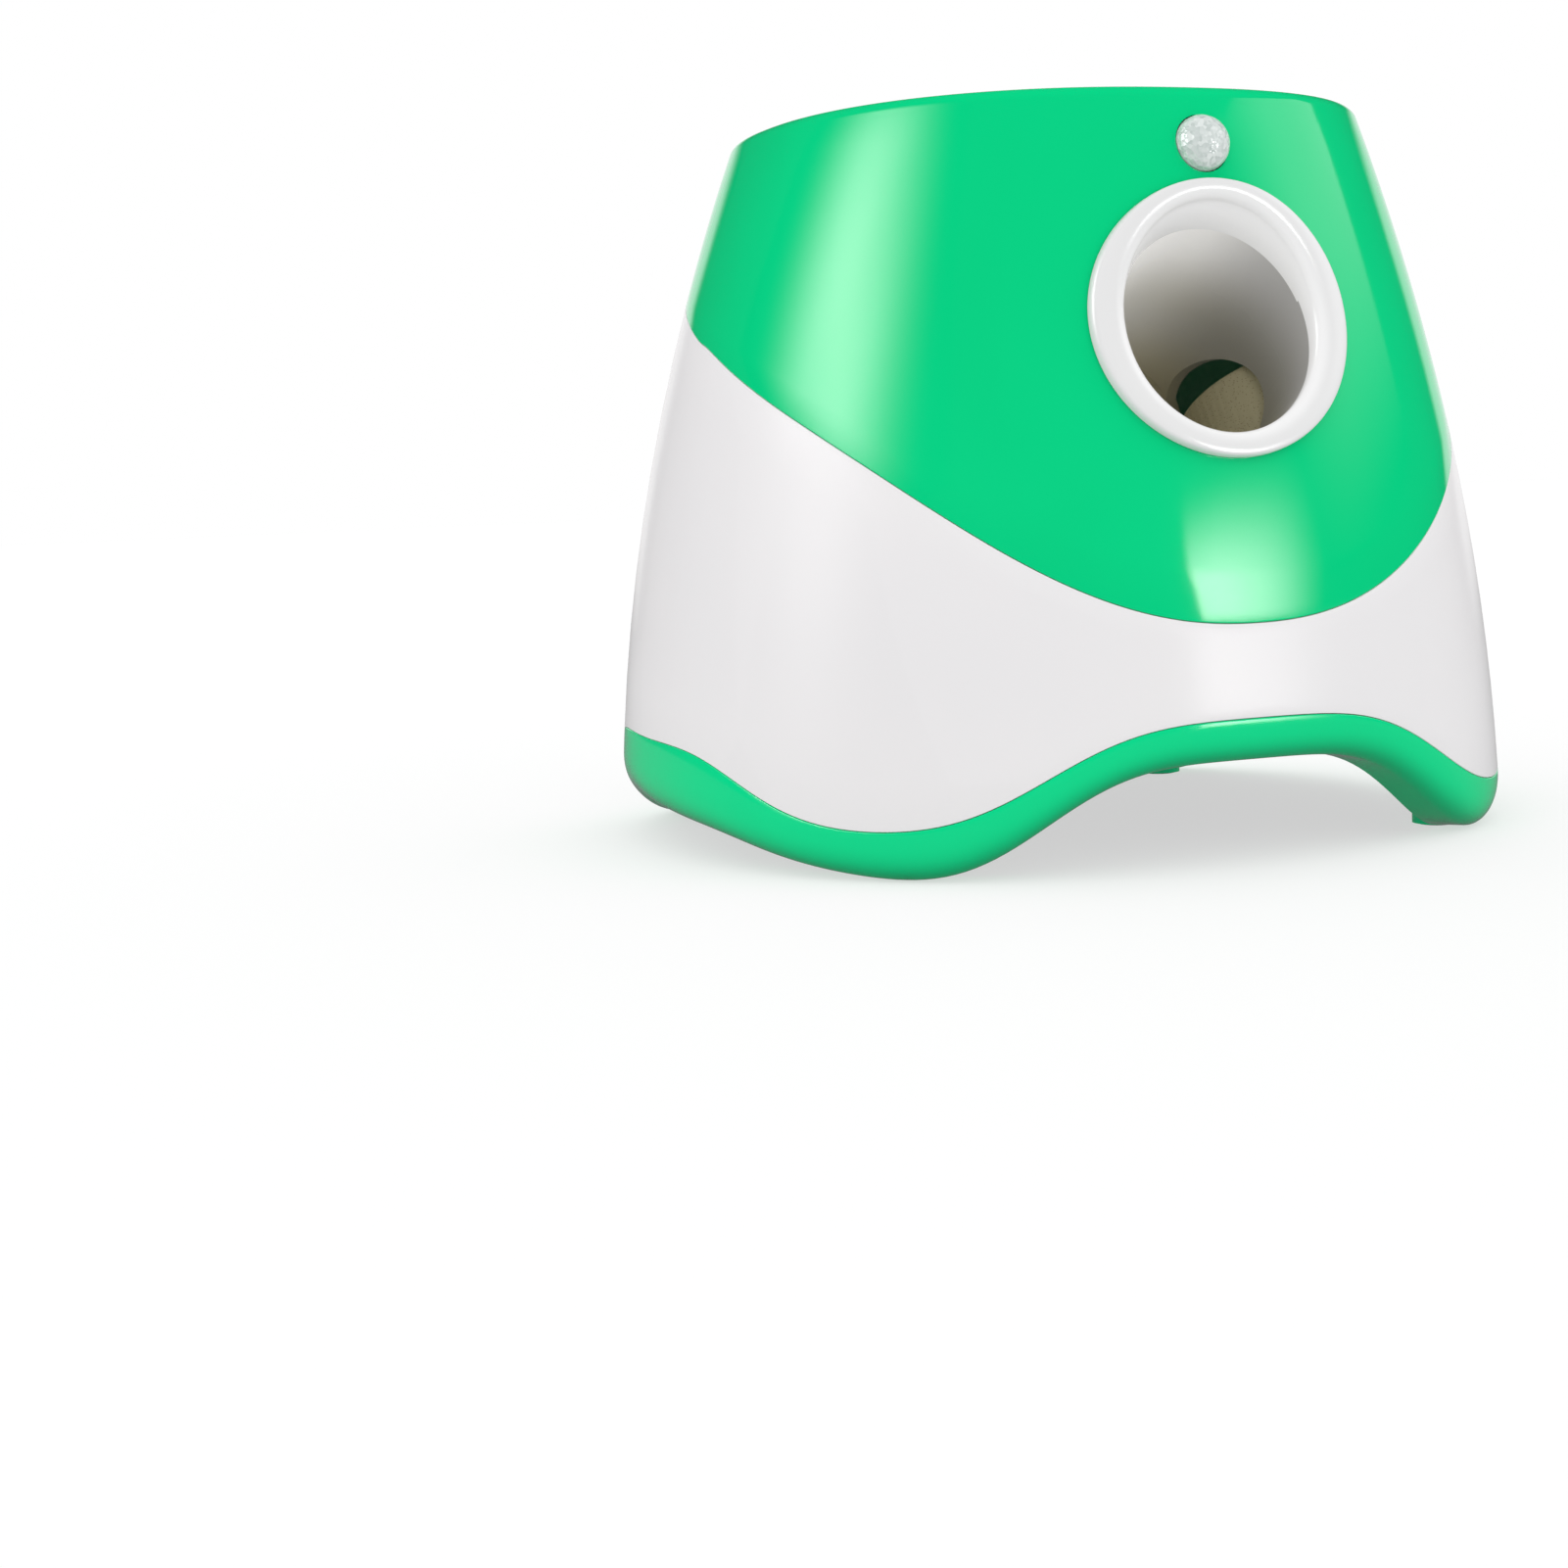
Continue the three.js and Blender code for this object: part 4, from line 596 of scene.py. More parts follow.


# Plastic whose tone changes with the depth down the launch tube. Painted shade darkens it going in and on
# its right side, and an emission paints light on the upper left wall.
def tubePlastic(name):
    s = tubeTone
    material, tree, shader = newMaterial(name)

    def fadeAlong(direction, start, end, low=0, high=1):
        way = vectorNode(tree, "DOT_PRODUCT", objectPlace(tree), direction)
        (first, least), (last, most) = sorted(((start, low), (end, high)))
        distance = mathNode(tree, "SUBTRACT", way, mouthPlace.dot(direction))
        return smoothStep(tree, distance, first * millimetre, last * millimetre, least, most)

    # Painted shade: near white at the mouth, darker grey further in, then warm beige deepest in
    tone = mixColour(tree, fadeAlong(-tubeOut, *s["middleSpan"]), linear(*s["near"]), linear(*s["middle"]))
    tone = mixColour(tree, fadeAlong(-tubeOut, *s["deepSpan"]), tone, linear(*s["deep"]))
    # Painted shade: the right side of the tube is darker
    dark = (s["shade"],) * 3 + (1,)
    shade = mixColour(tree, fadeAlong(rightward, *s["shadeSpan"]), (1, 1, 1, 1), dark)
    tree.links.new(mixColour(tree, 1, tone, shade, "MULTIPLY"), shader.inputs["Base Color"])
    # Painted light: an emission lightens the upper left wall near the mouth
    lit = mathNode(tree, "MULTIPLY", fadeAlong(tubeUp, *s["glowUp"]), fadeAlong(rightward, *s["glowAcross"]))
    lit = mathNode(tree, "MULTIPLY", lit, fadeAlong(-tubeOut, *s["glowDepth"]))
    tree.links.new(mathNode(tree, "MULTIPLY", lit, s["glow"]), shader.inputs["Emission Strength"])
    shader.inputs["Emission Color"].default_value = linear(*s["near"])
    roughen(tree, shader, Roughness=s["roughness"], Smears=0.12, Specks=0.04)
    shader.inputs["Specular IOR Level"].default_value = 0.3
    grainOn(tree, shader, 0.06, Scale=900)
    return material


# Milky plastic pressed into small facets. Each cell is painted a lighter or darker tone, as painted light
# for how each facet catches the light.
def lensPlastic(name, light, dark, cellSize, roughness):
    material, tree, shader = newMaterial(name)
    cells = addNode(tree, "ShaderNodeTexVoronoi", feature="F1")
    tree.links.new(objectPlace(tree), cells.inputs["Vector"])
    cells.inputs["Scale"].default_value = 1 / (cellSize * millimetre)
    parts = addNode(tree, "ShaderNodeSeparateColor")
    tree.links.new(cells.outputs["Color"], parts.inputs[0])
    # Painted light: the light and dark tones per cell stand for facets catching the light
    tone = mixColour(tree, parts.outputs[0], linear(*light), linear(*dark))
    tree.links.new(tone, shader.inputs["Base Color"])
    roughen(tree, shader, Roughness=roughness, Smears=0.05, Specks=0.02)
    shader.inputs["Specular IOR Level"].default_value = 0.7
    bumpFrom(tree, shader, cells.outputs["Distance"], 0.5, 0.0004)
    return material


def metal(name, colour, roughness=0.3, stretch=(900, 900, 30), spread=0.15):
    material, tree, shader = newMaterial(name)
    shader.inputs["Metallic"].default_value = 1
    lines = useGroup(tree, "drawnLines", Stretch=stretch, Roughness=roughness, Spread=spread)
    tone = useGroup(
        tree, "toneDrift", Colour=linear(*colour),
        Far_Colour=linear(*[c * 0.85 for c in colour]), Amount=0.5, Scale=60,
    )
    tree.links.new(tone.outputs["Colour"], shader.inputs["Base Color"])
    tree.links.new(lines.outputs["Roughness"], shader.inputs["Roughness"])
    bumpFrom(tree, shader, lines.outputs["Height"], 0.08, 0.0001)
    return material


# Painted shade: the pores are painted in a darker colour, standing for the shade in them
def foam(name, colour, poreShade):
    material, tree, shader = newMaterial(name)
    pores = useGroup(tree, "foamPores", Scale=1300)
    tinted = mixColour(tree, pores.outputs["Pores"], linear(*poreShade), linear(*colour))
    tree.links.new(tinted, shader.inputs["Base Color"])
    shader.inputs["Roughness"].default_value = 0.8
    bumpFrom(tree, shader, pores.outputs["Height"], 0.35, 0.0003)
    return material


def circuit(name):
    material, tree, shader = newMaterial(name)
    tracks = addNode(tree, "ShaderNodeTexBrick")
    inputs = {
        "Vector": objectPlace(tree),
        "Scale": 90,
        "Mortar Size": 0.06,
        "Color1": linear(10, 78, 44),
        "Color2": linear(14, 92, 52),
        "Mortar": linear(40, 132, 74),
    }
    for key, value in inputs.items():
        feed(tree, tracks.inputs[key], value)
    tree.links.new(tracks.outputs["Color"], shader.inputs["Base Color"])
    roughen(tree, shader, Roughness=0.35, Smears=0.1)
    bumpFrom(tree, shader, tracks.outputs["Fac"], 0.2, 0.0001)
    return material


# Printed sleeve with a copper-coloured collar and a plain cap, by the distance from the middle
cellBands = {"collar": 0.0385, "cap": 0.0497}


def cellSleeve(name):
    material, tree, shader = newMaterial(name)
    reach = mathNode(tree, "ABSOLUTE", splitVector(tree, objectPlace(tree))[0])
    collar = mathNode(tree, "GREATER_THAN", reach, cellBands["collar"])
    cap = mathNode(tree, "GREATER_THAN", reach, cellBands["cap"])
    sleeve = mixColour(tree, collar, linear(52, 66, 84), linear(196, 128, 72))
    tree.links.new(mixColour(tree, cap, sleeve, linear(200, 200, 196)), shader.inputs["Base Color"])
    tree.links.new(collar, shader.inputs["Metallic"])
    roughen(tree, shader, Roughness=0.32, Smears=0.15)
    grainOn(tree, shader, 0.05, 0.0001, Scale=400)
    return material


materials = {
    "greenInside": plastic("springGreenInside", (3, 190, 120), (2, 178, 110), roughness=0.45, specular=0.2),
    "green": plastic("springGreenGloss", (3, 209, 133), (2, 203, 127), drift=0.5, roughness=0.08,
                     smears=0.03, specks=0.01, bump=0.025, waviness=0.8, specular=0.35),
    "greenSkirt": plastic("springGreenSkirt", (3, 217, 141), (2, 211, 135), drift=0.5, roughness=0.1,
                          smears=0.03, specks=0.01, bump=0.025, waviness=0.8, specular=0.35),
    "white": plastic("coolWhiteGloss", (232, 230, 231), (226, 225, 227), drift=0.4, roughness=0.2,
                     smears=0.06, specks=0.02, bump=0.03, waviness=0.7, specular=0.08),
    "ring": plastic("ringWhiteGloss", (229, 229, 229), (224, 224, 225), drift=0.3, roughness=0.16,
                    smears=0.05, specks=0.02, bump=0.03, specular=0.35),
    "bowl": plastic("bowlWhiteSatin", (228, 227, 226), (221, 221, 222), drift=0.4, roughness=0.34,
                    bump=0.08, specular=0.4),
    "tube": tubePlastic("tubeSatinPaintedShade"),
    "lens": lensPlastic("milkyLensPaintedFacets", (228, 234, 232), (194, 204, 201), 1.1, 0.14),
    "darkPlastic": plastic("charcoalTexture", (44, 46, 50), (38, 40, 43), roughness=0.52, grain=1500,
                           bump=0.35, specular=0.4),
    "hub": plastic("hubGrey", (54, 57, 60), (46, 48, 51), roughness=0.45, grain=1200, bump=0.2),
    "pale": plastic("warmGreyPlastic", (204, 205, 200), (195, 196, 192), roughness=0.4, bump=0.1),
    "rocker": plastic("rockerRed", (186, 38, 42), (170, 30, 36), roughness=0.25, bump=0.06),
    "rubber": plastic("matRubber", (36, 36, 39), (30, 30, 32), roughness=0.85, grain=2200, bump=0.5,
                      specular=0.25),
    "lightNear": plastic("greenLightPipe", (58, 182, 84), (46, 160, 70), roughness=0.15, coat=0.6),
    "lightMiddle": plastic("amberLightPipe", (232, 148, 36), (214, 130, 26), roughness=0.15, coat=0.6),
    "lightFar": plastic("redLightPipe", (206, 48, 44), (188, 38, 36), roughness=0.15, coat=0.6),
    "foam": foam("wheelFoam", (168, 160, 128), (120, 112, 82)),
    "steel": metal("zincSteel", (190, 192, 194), 0.3),
    "motorCan": metal("platedCan", (176, 178, 180), 0.34, stretch=(300, 300, 300)),
    "brass": metal("springBrass", (206, 168, 84), 0.3, stretch=(60, 900, 900)),
    "board": circuit("solderMask"),
    "cell": cellSleeve("cellWrap"),
}


# Darkens the faces that look down, where little light reaches
def shadeUnderside(material, level):
    tree = material.node_tree
    shader = tree.nodes["Principled BSDF"]
    tone = shader.inputs["Base Color"].links[0].from_socket
    normal = addNode(tree, "ShaderNodeNewGeometry").outputs["Normal"]
    fade = smoothStep(tree, splitVector(tree, normal)[2], -0.8, -0.1)
    shade = mixColour(tree, fade, (level,) * 3 + (1,), (1, 1, 1, 1))
    tree.links.new(mixColour(tree, 1, tone, shade, "MULTIPLY"), shader.inputs["Base Color"])


# Painted light: the white ring glows round the bore, fully near the bore and fading out further from the
# axis
throatPaintedLight = {"start": 33, "full": 29, "strength": 0.13}


def paintLightRoundBore(material):
    s = throatPaintedLight
    tree = material.node_tree
    shader = tree.nodes["Principled BSDF"]
    away = vectorNode(tree, "SUBTRACT", objectPlace(tree), mouthPlace)
    radius = vectorNode(tree, "LENGTH", vectorNode(tree, "CROSS_PRODUCT", away, tubeOut))
    strength = smoothStep(tree, radius, s["full"] * millimetre, s["start"] * millimetre, s["strength"], 0)
    tree.links.new(strength, shader.inputs["Emission Strength"])
    shader.inputs["Emission Color"].default_value = (1, 1, 1, 1)


# Painted light: an emission lightens the inner faces of the thin green wall
def paintGlowInside(material, colour, strength):
    shader = material.node_tree.nodes["Principled BSDF"]
    shader.inputs["Emission Color"].default_value = linear(*colour)
    shader.inputs["Emission Strength"].default_value = strength


shadeUnderside(materials["greenSkirt"], 0.55)
# Painted light on the ring round the bore
paintLightRoundBore(materials["ring"])
paintGlowInside(materials["greenInside"], (4, 150, 92), 0.14)
print("materials made:", len(materials))


# Upper shell, with a rounded seam edge and rim
upperShell = {
    "rimRadius": 3,
    "rimWidth": 9,
    "rimChamfer": 0.4,
    "ledgeDepth": 2.6,
    "ledgeInset": 13,
    "rows": 10,
    "arc": 10,
    "lensRadius": 7.6,
    "postRadius": 2,
    "postPlaces": ((-11, -7), (11, -7), (11, 7), (-11, 7)),
    "postFoot": -7.3,
}


def roundedCorner(inset, z, radius, towards, steps=4):
    points = []
    for turn in quarter(steps):
        if towards == "up":
            points.append((inset + radius * (1 - math.sin(turn)), z + radius * (1 - math.cos(turn))))
        else:
            points.append((inset + radius * (1 - math.cos(turn)), z - radius * (1 - math.sin(turn))))
    return points


def buildUpperShell():
    s = upperShell
    ledge = body["height"] - s["ledgeDepth"]
    shoulder = body["height"] - s["rimRadius"]

    def profile(angle):
        low = wave(body["upperSeam"], angle) + body["seamGap"] / 2
        points = roundedCorner(0, low, body["edgeRound"], "up")
        for k in range(1, s["rows"] + 1):
            points.append((0, mix(low + body["edgeRound"], shoulder, k / s["rows"])))
        for turn in quarter(s["arc"])[1:]:
            reach = s["rimRadius"]
            points.append((reach * (1 - math.cos(turn)), shoulder + reach * math.sin(turn)))
        points.append((s["rimWidth"] - s["rimChamfer"], body["height"]))
        points.append((s["rimWidth"], body["height"] - s["rimChamfer"]))
        points += [(s["rimWidth"], ledge), (s["ledgeInset"], ledge), (s["ledgeInset"], ledge - body["wall"])]
        for k in range(s["rows"], -1, -1):
            points.append((body["wall"], mix(low, ledge - body["wall"], k / s["rows"])))
        return points

    piece = bodyBand("upperShellFine", profile)
    mouth = rodMesh("mouthCut", launch["tube"] + body["gap"], -launch["ring"], launch["ring"], tubeFrame)
    lens = rodMesh("lensCut", s["lensRadius"] + body["gap"], -6, 3, sensorFrame)
    steps = []
    for x, y in s["postPlaces"]:
        at = sensorFrame @ Matrix.Translation((x, y, 0))
        steps.append(("UNION", rodMesh("post", s["postRadius"], s["postFoot"], -body["wall"] / 2, at, 48)))
    return smooth(combine(piece, steps + [("DIFFERENCE", mouth), ("DIFFERENCE", lens)]))


def insideWall(place):
    return wallSide(place, 0.3 - body["wall"]) < 0


shell = dress(buildUpperShell(), materials["green"], "housing", "green_plastic", "upper_shell")
tintFaces(shell, materials["greenInside"], insideWall)
print("upper shell made")


# Lower shell with its panel window and the posts over the screws
lowerShell = {
    "rows": 8,
    "panelWidth": 72,
    "panelHeight": 38,
    "corner": 5,
    "collar": 2.2,
    "recess": 5,
    "depth": 3.3,
    "bossRadius": 5.5,
    "bossFoot": 34.1,
    "bossHeight": 27,
    "ribWidth": 3,
    "screwRoom": 1.8,
}
footInset = 16


def footFrame(k):
    centre = wallPoint(math.pi / 4 * (2 * k + 1), 0, footInset)
    return bodyFrame @ Matrix.Translation((centre.x, centre.y, 0)), math.atan2(centre.y, centre.x)


def bossOverFoot(k):
    s = lowerShell
    at, turn = footFrame(k)
    low, high = s["bossFoot"], s["bossFoot"] + s["bossHeight"]
    boss = rodMesh("boss", s["bossRadius"], low, high, at, 64)
    rib = blockMesh("rib", (0, footInset), (-s["ribWidth"] / 2, s["ribWidth"] / 2),
                    (low + s["bossHeight"] / 4, high), at @ Matrix.Rotation(turn, 4, "Z"))
    inside = loft("inside", [[wallPoint(a, z, body["wall"] / 2) for a in bodyAngles] for z in (low, high)],
                  closed=False)
    combine(boss, [("UNION", rib), ("INTERSECT", inside)])
    hole = rodMesh("screwHole", s["screwRoom"], low - 3, high - body["wall"], at, 48)
    return [("UNION", boss), ("DIFFERENCE", hole)]


def buildLowerShell():
    s = lowerShell
    edge = body["edgeRound"]

    def profile(angle):
        low = wave(body["lowerSeam"], angle) + body["seamGap"] / 2
        high = wave(body["upperSeam"], angle) - body["seamGap"] / 2
        points = roundedCorner(0, low, edge, "up")
        for k in range(1, s["rows"] + 1):
            points.append((0, mix(low + edge, high - edge, k / s["rows"])))
        points += roundedCorner(0, high, edge, "down")[1:]
        points += [(body["tongueInset"], high), (body["tongueInset"], high + body["tongueHeight"])]
        points.append((body["innerInset"], high + body["tongueHeight"]))
        points.append((body["innerInset"], high - body["tongueHeight"]))
        top = high - body["tongueHeight"] - (body["innerInset"] - body["wall"])
        for k in range(s["rows"], -1, -1):
            points.append((body["wall"], mix(low, top, k / s["rows"])))
        return points

    piece = bodyBand("lowerShellFine", profile)
    foot = -s["recess"] - s["depth"] + body["gap"]
    grow = 2 * s["collar"]
    collar = roundedPlate("collar", s["panelWidth"] + grow, s["panelHeight"] + grow,
                          s["corner"] + s["collar"], foot, body["wall"], panelFrame)
    ends = (wave(body["lowerSeam"], math.pi), wave(body["upperSeam"], math.pi))
    heights = [mix(*ends, k / 8) for k in range(9)]
    outline = loft("outline", [[wallPoint(a, z, 0.06) for a in bodyAngles] for z in heights], closed=False)
    combine(collar, [("INTERSECT", outline)])
    window = roundedPlate("window", s["panelWidth"] + 0.6, s["panelHeight"] + 0.6,
                          s["corner"] + 0.3, foot - 3, body["wall"] + 3, panelFrame)
    steps = [step for k in range(4) for step in bossOverFoot(k)]
    return smooth(combine(piece, steps + [("UNION", collar), ("DIFFERENCE", window)]))


dress(buildLowerShell(), materials["white"], "housing", "white_plastic", "lower_shell")
print("lower shell made")


# Skirt with a lobe at each corner that rolls under at its lower edge
baseSkirt = {
    "edgeInset": 6.5,
    "edgeHeight": 12,
    "flangeWidth": 15,
    "flange": 2.8,
    "arc": 14,
    "padRadius": 6.9,
    "padHeight": 5.2,
    "pocketRadius": 5.8,
    "pocket": 1.3,
    "headRadius": 3.3,
    "headRoom": 2.4,
    "screwRadius": 1.8,
    "screwReach": 8,
}


def buildBaseSkirt():
    s = baseSkirt
    edge = body["edgeRound"]

    def profile(angle):
        bottom = max(0, wave(body["skirtEdge"], angle))
        top = wave(body["lowerSeam"], angle) - body["seamGap"] / 2
        height = min(s["edgeHeight"], top - bottom - 2 * edge)
        points = []
        for turn in quarter(s["arc"]):
            points.append((s["edgeInset"] * (1 - math.sin(turn)), bottom + height * (1 - math.cos(turn))))
        points.append((0, mix(bottom + height, top - edge, 0.5)))
        points += roundedCorner(0, top, edge, "down")
        points += [(body["tongueInset"], top), (body["tongueInset"], top + body["tongueHeight"])]
        points.append((body["innerInset"], top + body["tongueHeight"]))
        points += [(body["innerInset"], bottom + s["flange"]), (s["flangeWidth"], bottom + s["flange"])]
        points.append((s["flangeWidth"], bottom))
        return points

    piece = bodyBand("baseSkirtFine", profile)
    joins, cuts = [], []
    for k in range(4):
        at, turn = footFrame(k)
        joins.append(("UNION", rodMesh("pad", s["padRadius"], 0, s["padHeight"], at)))
        cuts.append(("DIFFERENCE", rodMesh("pocket", s["pocketRadius"], -3, s["pocket"], at)))
        head = rodMesh("headRoom", s["headRadius"], 0, s["pocket"] + s["headRoom"], at, 48)
        screw = rodMesh("screwRoom", s["screwRadius"], 0, s["screwReach"], at, 48)
        cuts += [("DIFFERENCE", head), ("DIFFERENCE", screw)]
    return smooth(combine(piece, joins + cuts))


dress(buildBaseSkirt(), materials["greenSkirt"], "housing", "green_plastic", "base_skirt")
print("skirt made")


# Open bowl with a dish that runs down to the drop hole
hopperBowl = {"rows": 36, "steepness": 0.4, "throatWall": 2.5, "edgeRound": (0.9, 0.35, 0.3)}


def buildHopperBowl():
    s = hopperBowl
    gap, wall = body["gap"], body["wall"]
    flangeTop = body["height"] - gap
    flangeFoot = body["height"] - upperShell["ledgeDepth"] + gap
    throatFoot = launch["chuteTop"] + gap
    throatTop = throatFoot + 2 * wall
    start = upperShell["ledgeInset"] + wall + 0.4

    def circle(radius, z):
        along = radius / math.cos(launch["angle"])
        return [Vector((radius * math.sin(a), launch["dropY"] - along * math.cos(a), z)) for a in bodyAngles]

    def outline(inset, z):
        return [wallPoint(a, z, inset) for a in bodyAngles]

    rim = outline(start, flangeTop - gap)
    throat = circle(launch["chute"], throatTop)
    dish = []
    for k in range(s["rows"] + 1):
        share = k / s["rows"]
        drop = mix(1 - (1 - share) ** 2, share, s["steepness"])
        loop = []
        for p, q in zip(rim, throat):
            between = p.lerp(q, share)
            between.z = mix(p.z, throatTop, drop)
            loop.append(between)
        dish.append(loop)
    under = []
    count = len(bodyAngles)
    for k, loop in enumerate(dish):
        lower = []
        for i, p in enumerate(loop):
            inward = dish[min(k + 1, s["rows"])][i] - dish[max(k - 1, 0)][i]
            around = loop[(i + 1) % count] - loop[i - 1]
            lower.append(p + inward.cross(around).normalized() * wall)
        under.append(lower)
    under[-1] = circle(launch["chute"] + s["throatWall"], throatTop - wall / 2)
    edge = upperShell["rimWidth"] + gap
    wide, slight, corner = s["edgeRound"]
    loops = [outline(edge + corner, flangeTop), outline(start - wide, flangeTop)]
    loops.append(outline(start - slight, flangeTop - 0.1))
    loops += dish
    loops += [circle(launch["chute"], throatFoot), circle(launch["chuteOuter"], throatFoot)]
    loops += list(reversed(under[1:]))
    loops += [outline(upperShell["ledgeInset"] + gap, flangeFoot), outline(edge, flangeFoot)]
    loops.append(outline(edge, flangeTop - corner))
    return smooth(loft("hopperBowlFine", loops), 40)


dress(buildHopperBowl(), materials["bowl"], "housing", "white_plastic", "hopper_bowl")
print("bowl made")


# Ring on the curved wall round the mouth
mouthRing = {
    "turns": 224,
    "proud": 3,
    "neckSpare": 3.6,
    "face": (
        (1, 0.36), (0.994, 0.56), (0.98, 0.74), (0.955, 0.88), (0.92, 0.965), (0.87, 1), (0.7, 1.01),
        (0.5, 0.97), (0.36, 0.88), (0.25, 0.75), (0.16, 0.59), (0.09, 0.41), (0.04, 0.22), (0.01, 0.07),
    ),
    "flareDepth": (1.6, 9.2),
    "flareSide": math.radians(95),
    "flareSlope": 0.2,
    "flarePower": 1.6,
    "flareSteps": 8,
}
mouthTilt = wallTilt(launch["mouthHeight"])
mouthRing["neckEnd"] = (
    launch["tube"] * math.tan(launch["angle"] - mouthTilt) + 2 * body["wall"] + mouthRing["neckSpare"]
)


# Point where a line from the start along the direction meets the wall
def ontoWall(start, direction, lift):
    low, high = -launch["ring"], launch["ring"]
    for _ in range(40):
        middle = (low + high) / 2
        if wallSide(start + direction * middle, lift) > 0:
            high = middle
        else:
            low = middle
    return start + direction * low


def buildMouthRing():
    s = mouthRing
    centre = Vector((0, launch["mouthY"], launch["mouthHeight"]))
    wallOut = Vector((0, -math.cos(mouthTilt), math.sin(mouthTilt)))
    wallUp = Vector((0, math.sin(mouthTilt), math.cos(mouthTilt)))
    turns = [2 * math.pi * i / s["turns"] for i in range(s["turns"])]

    def onTube(radius, turn):
        return centre + rightward * (radius * math.cos(turn)) + tubeUp * (radius * math.sin(turn))

    def boreLoop(radius, lift):
        return [ontoWall(onTube(radius, turn), tubeOut, lift) for turn in turns]

    def neckLoop(radius):
        return [onTube(radius, turn) - tubeOut * s["neckEnd"] for turn in turns]

    shares = [((1 + math.cos(t - s["flareSide"])) / 2) ** s["flarePower"] for t in turns]
    depths = [mix(*s["flareDepth"], share) for share in shares]

    # Loop on the funnel that leads from the face down to the bore, deepest at the top
    def flareLoop(share):
        loop = []
        for turn, depth in zip(turns, depths):
            radius = launch["bore"] + s["flareSlope"] * depth * (1 - share) ** 2
            loop.append(ontoWall(onTube(radius, turn), tubeOut, 0) - tubeOut * (depth * share))
        return loop

    bore = flareLoop(0)
    wide, high = launch["ring"], launch["ring"] * launch["ringShare"]
    rim = [centre + rightward * (wide * math.cos(t)) + wallUp * (high * math.sin(t)) for t in turns]

    def faceLoop(share, lift):
        return [ontoWall(b.lerp(r, share), wallOut, lift) for b, r in zip(bore, rim)]

    loops = [faceLoop(1, body["gap"])]
    loops += [faceLoop(share, lift * s["proud"]) for share, lift in s["face"]]
    loops += [flareLoop(k / s["flareSteps"]) for k in range(s["flareSteps"] + 1)]
    loops += [neckLoop(launch["bore"]), neckLoop(launch["tube"]), boreLoop(launch["tube"], body["gap"])]
    return smooth(loft("mouthRingFine", loops), 50)


def insideBore(place):
    local = tubeFrame.inverted() @ (place + Vector((0, 0, body["lift"])))
    return math.hypot(local.x, local.y) < launch["bore"] + 0.005


throat = dress(buildMouthRing(), materials["ring"], "housing", "white_plastic", "mouth_ring")
tintFaces(throat, materials["tube"], insideBore)
print("ring made")


# Tube behind the ring, with the wheel windows, the drop chute and the ears for the kicker
launchTube = {
    "slotWidth": 15,
    "slotNotch": 6,
    "slotReach": 33.5,
    "joint": 0.02,
    "windowSpare": 2.7,
    "windowShare": 0.8,
    "windowUnder": 70,
    "windowSpan": (-130, 30),
    "wheelRoom": 1.2,
    "gateReach": 53,
    "gateHole": 2,
    "ear": 3,
    "earRadius": 7,
    "kickerReach": 41,
    "shaftHole": 2.3,
    "sides": 160,
}


def alongY(x, z, frameOf):
    return frameOf @ Matrix.Translation((x, 0, z)) @ Matrix.Rotation(-math.pi / 2, 4, "X")


def alongX(y, z, frameOf):
    return frameOf @ Matrix.Translation((0, y, z)) @ Matrix.Rotation(math.pi / 2, 4, "Y")


def tubeRod(name, radius, low, high, matrix=tubeFrame):
    return rodMesh(name, radius, low, high, matrix, launchTube["sides"])


def buildChute(end, axis):
    wide = 2 * launch["chuteOuter"]
    plateHead = launch["plateHead"]
    top = launch["chuteTop"] + body["lift"]
    above = blockMesh("above", (-wide, wide), (-2 * wide, 2 * wide), (top, top + 3 * wide))
    cuts = [("DIFFERENCE", above)]
    for side in (-1, 1):
        at = alongY(side * launch["wheelX"], -launch["wheelDepth"], tubeFrame)
        reach = launch["wheelRadius"] + launchTube["wheelRoom"]
        cuts.append(("DIFFERENCE", tubeRod("room", reach, plateHead, -plateHead, at)))
    return combine(tubeRod("chute", launch["chuteOuter"], 0, end, axis), cuts)


def wheelWindow(side):
    s = launchTube
    half = math.sqrt(launch["wheelRadius"] ** 2 - (launch["wheelX"] - launch["tube"]) ** 2)
    squash = Matrix.Diagonal((1, s["windowShare"], 1, 1))
    span = sorted((0, 2 * side * launch["chuteOuter"]))
    at = alongX(0, -launch["wheelDepth"], tubeFrame @ squash)
    window = tubeRod("window", half + s["windowSpare"], *span, at)
    far = s["windowUnder"]
    under = blockMesh("under", (-far, far), (-far, launch["plateHead"]), s["windowSpan"], tubeFrame)
    return combine(window, [("DIFFERENCE", under)])


def kickerEar(side):
    s = launchTube
    span = sorted((side * s["slotWidth"] / 2, side * (s["slotWidth"] / 2 + s["ear"])))
    pivot = -launch["pivotDepth"]
    lug = tubeRod("lug", s["earRadius"], *span, alongX(-s["kickerReach"], pivot, tubeFrame))
    web = blockMesh("earWeb", span, (-s["kickerReach"], -launch["bore"]),
                    (pivot - s["earRadius"], pivot + 2 * s["earRadius"]), tubeFrame)
    return [("UNION", lug), ("UNION", web)]


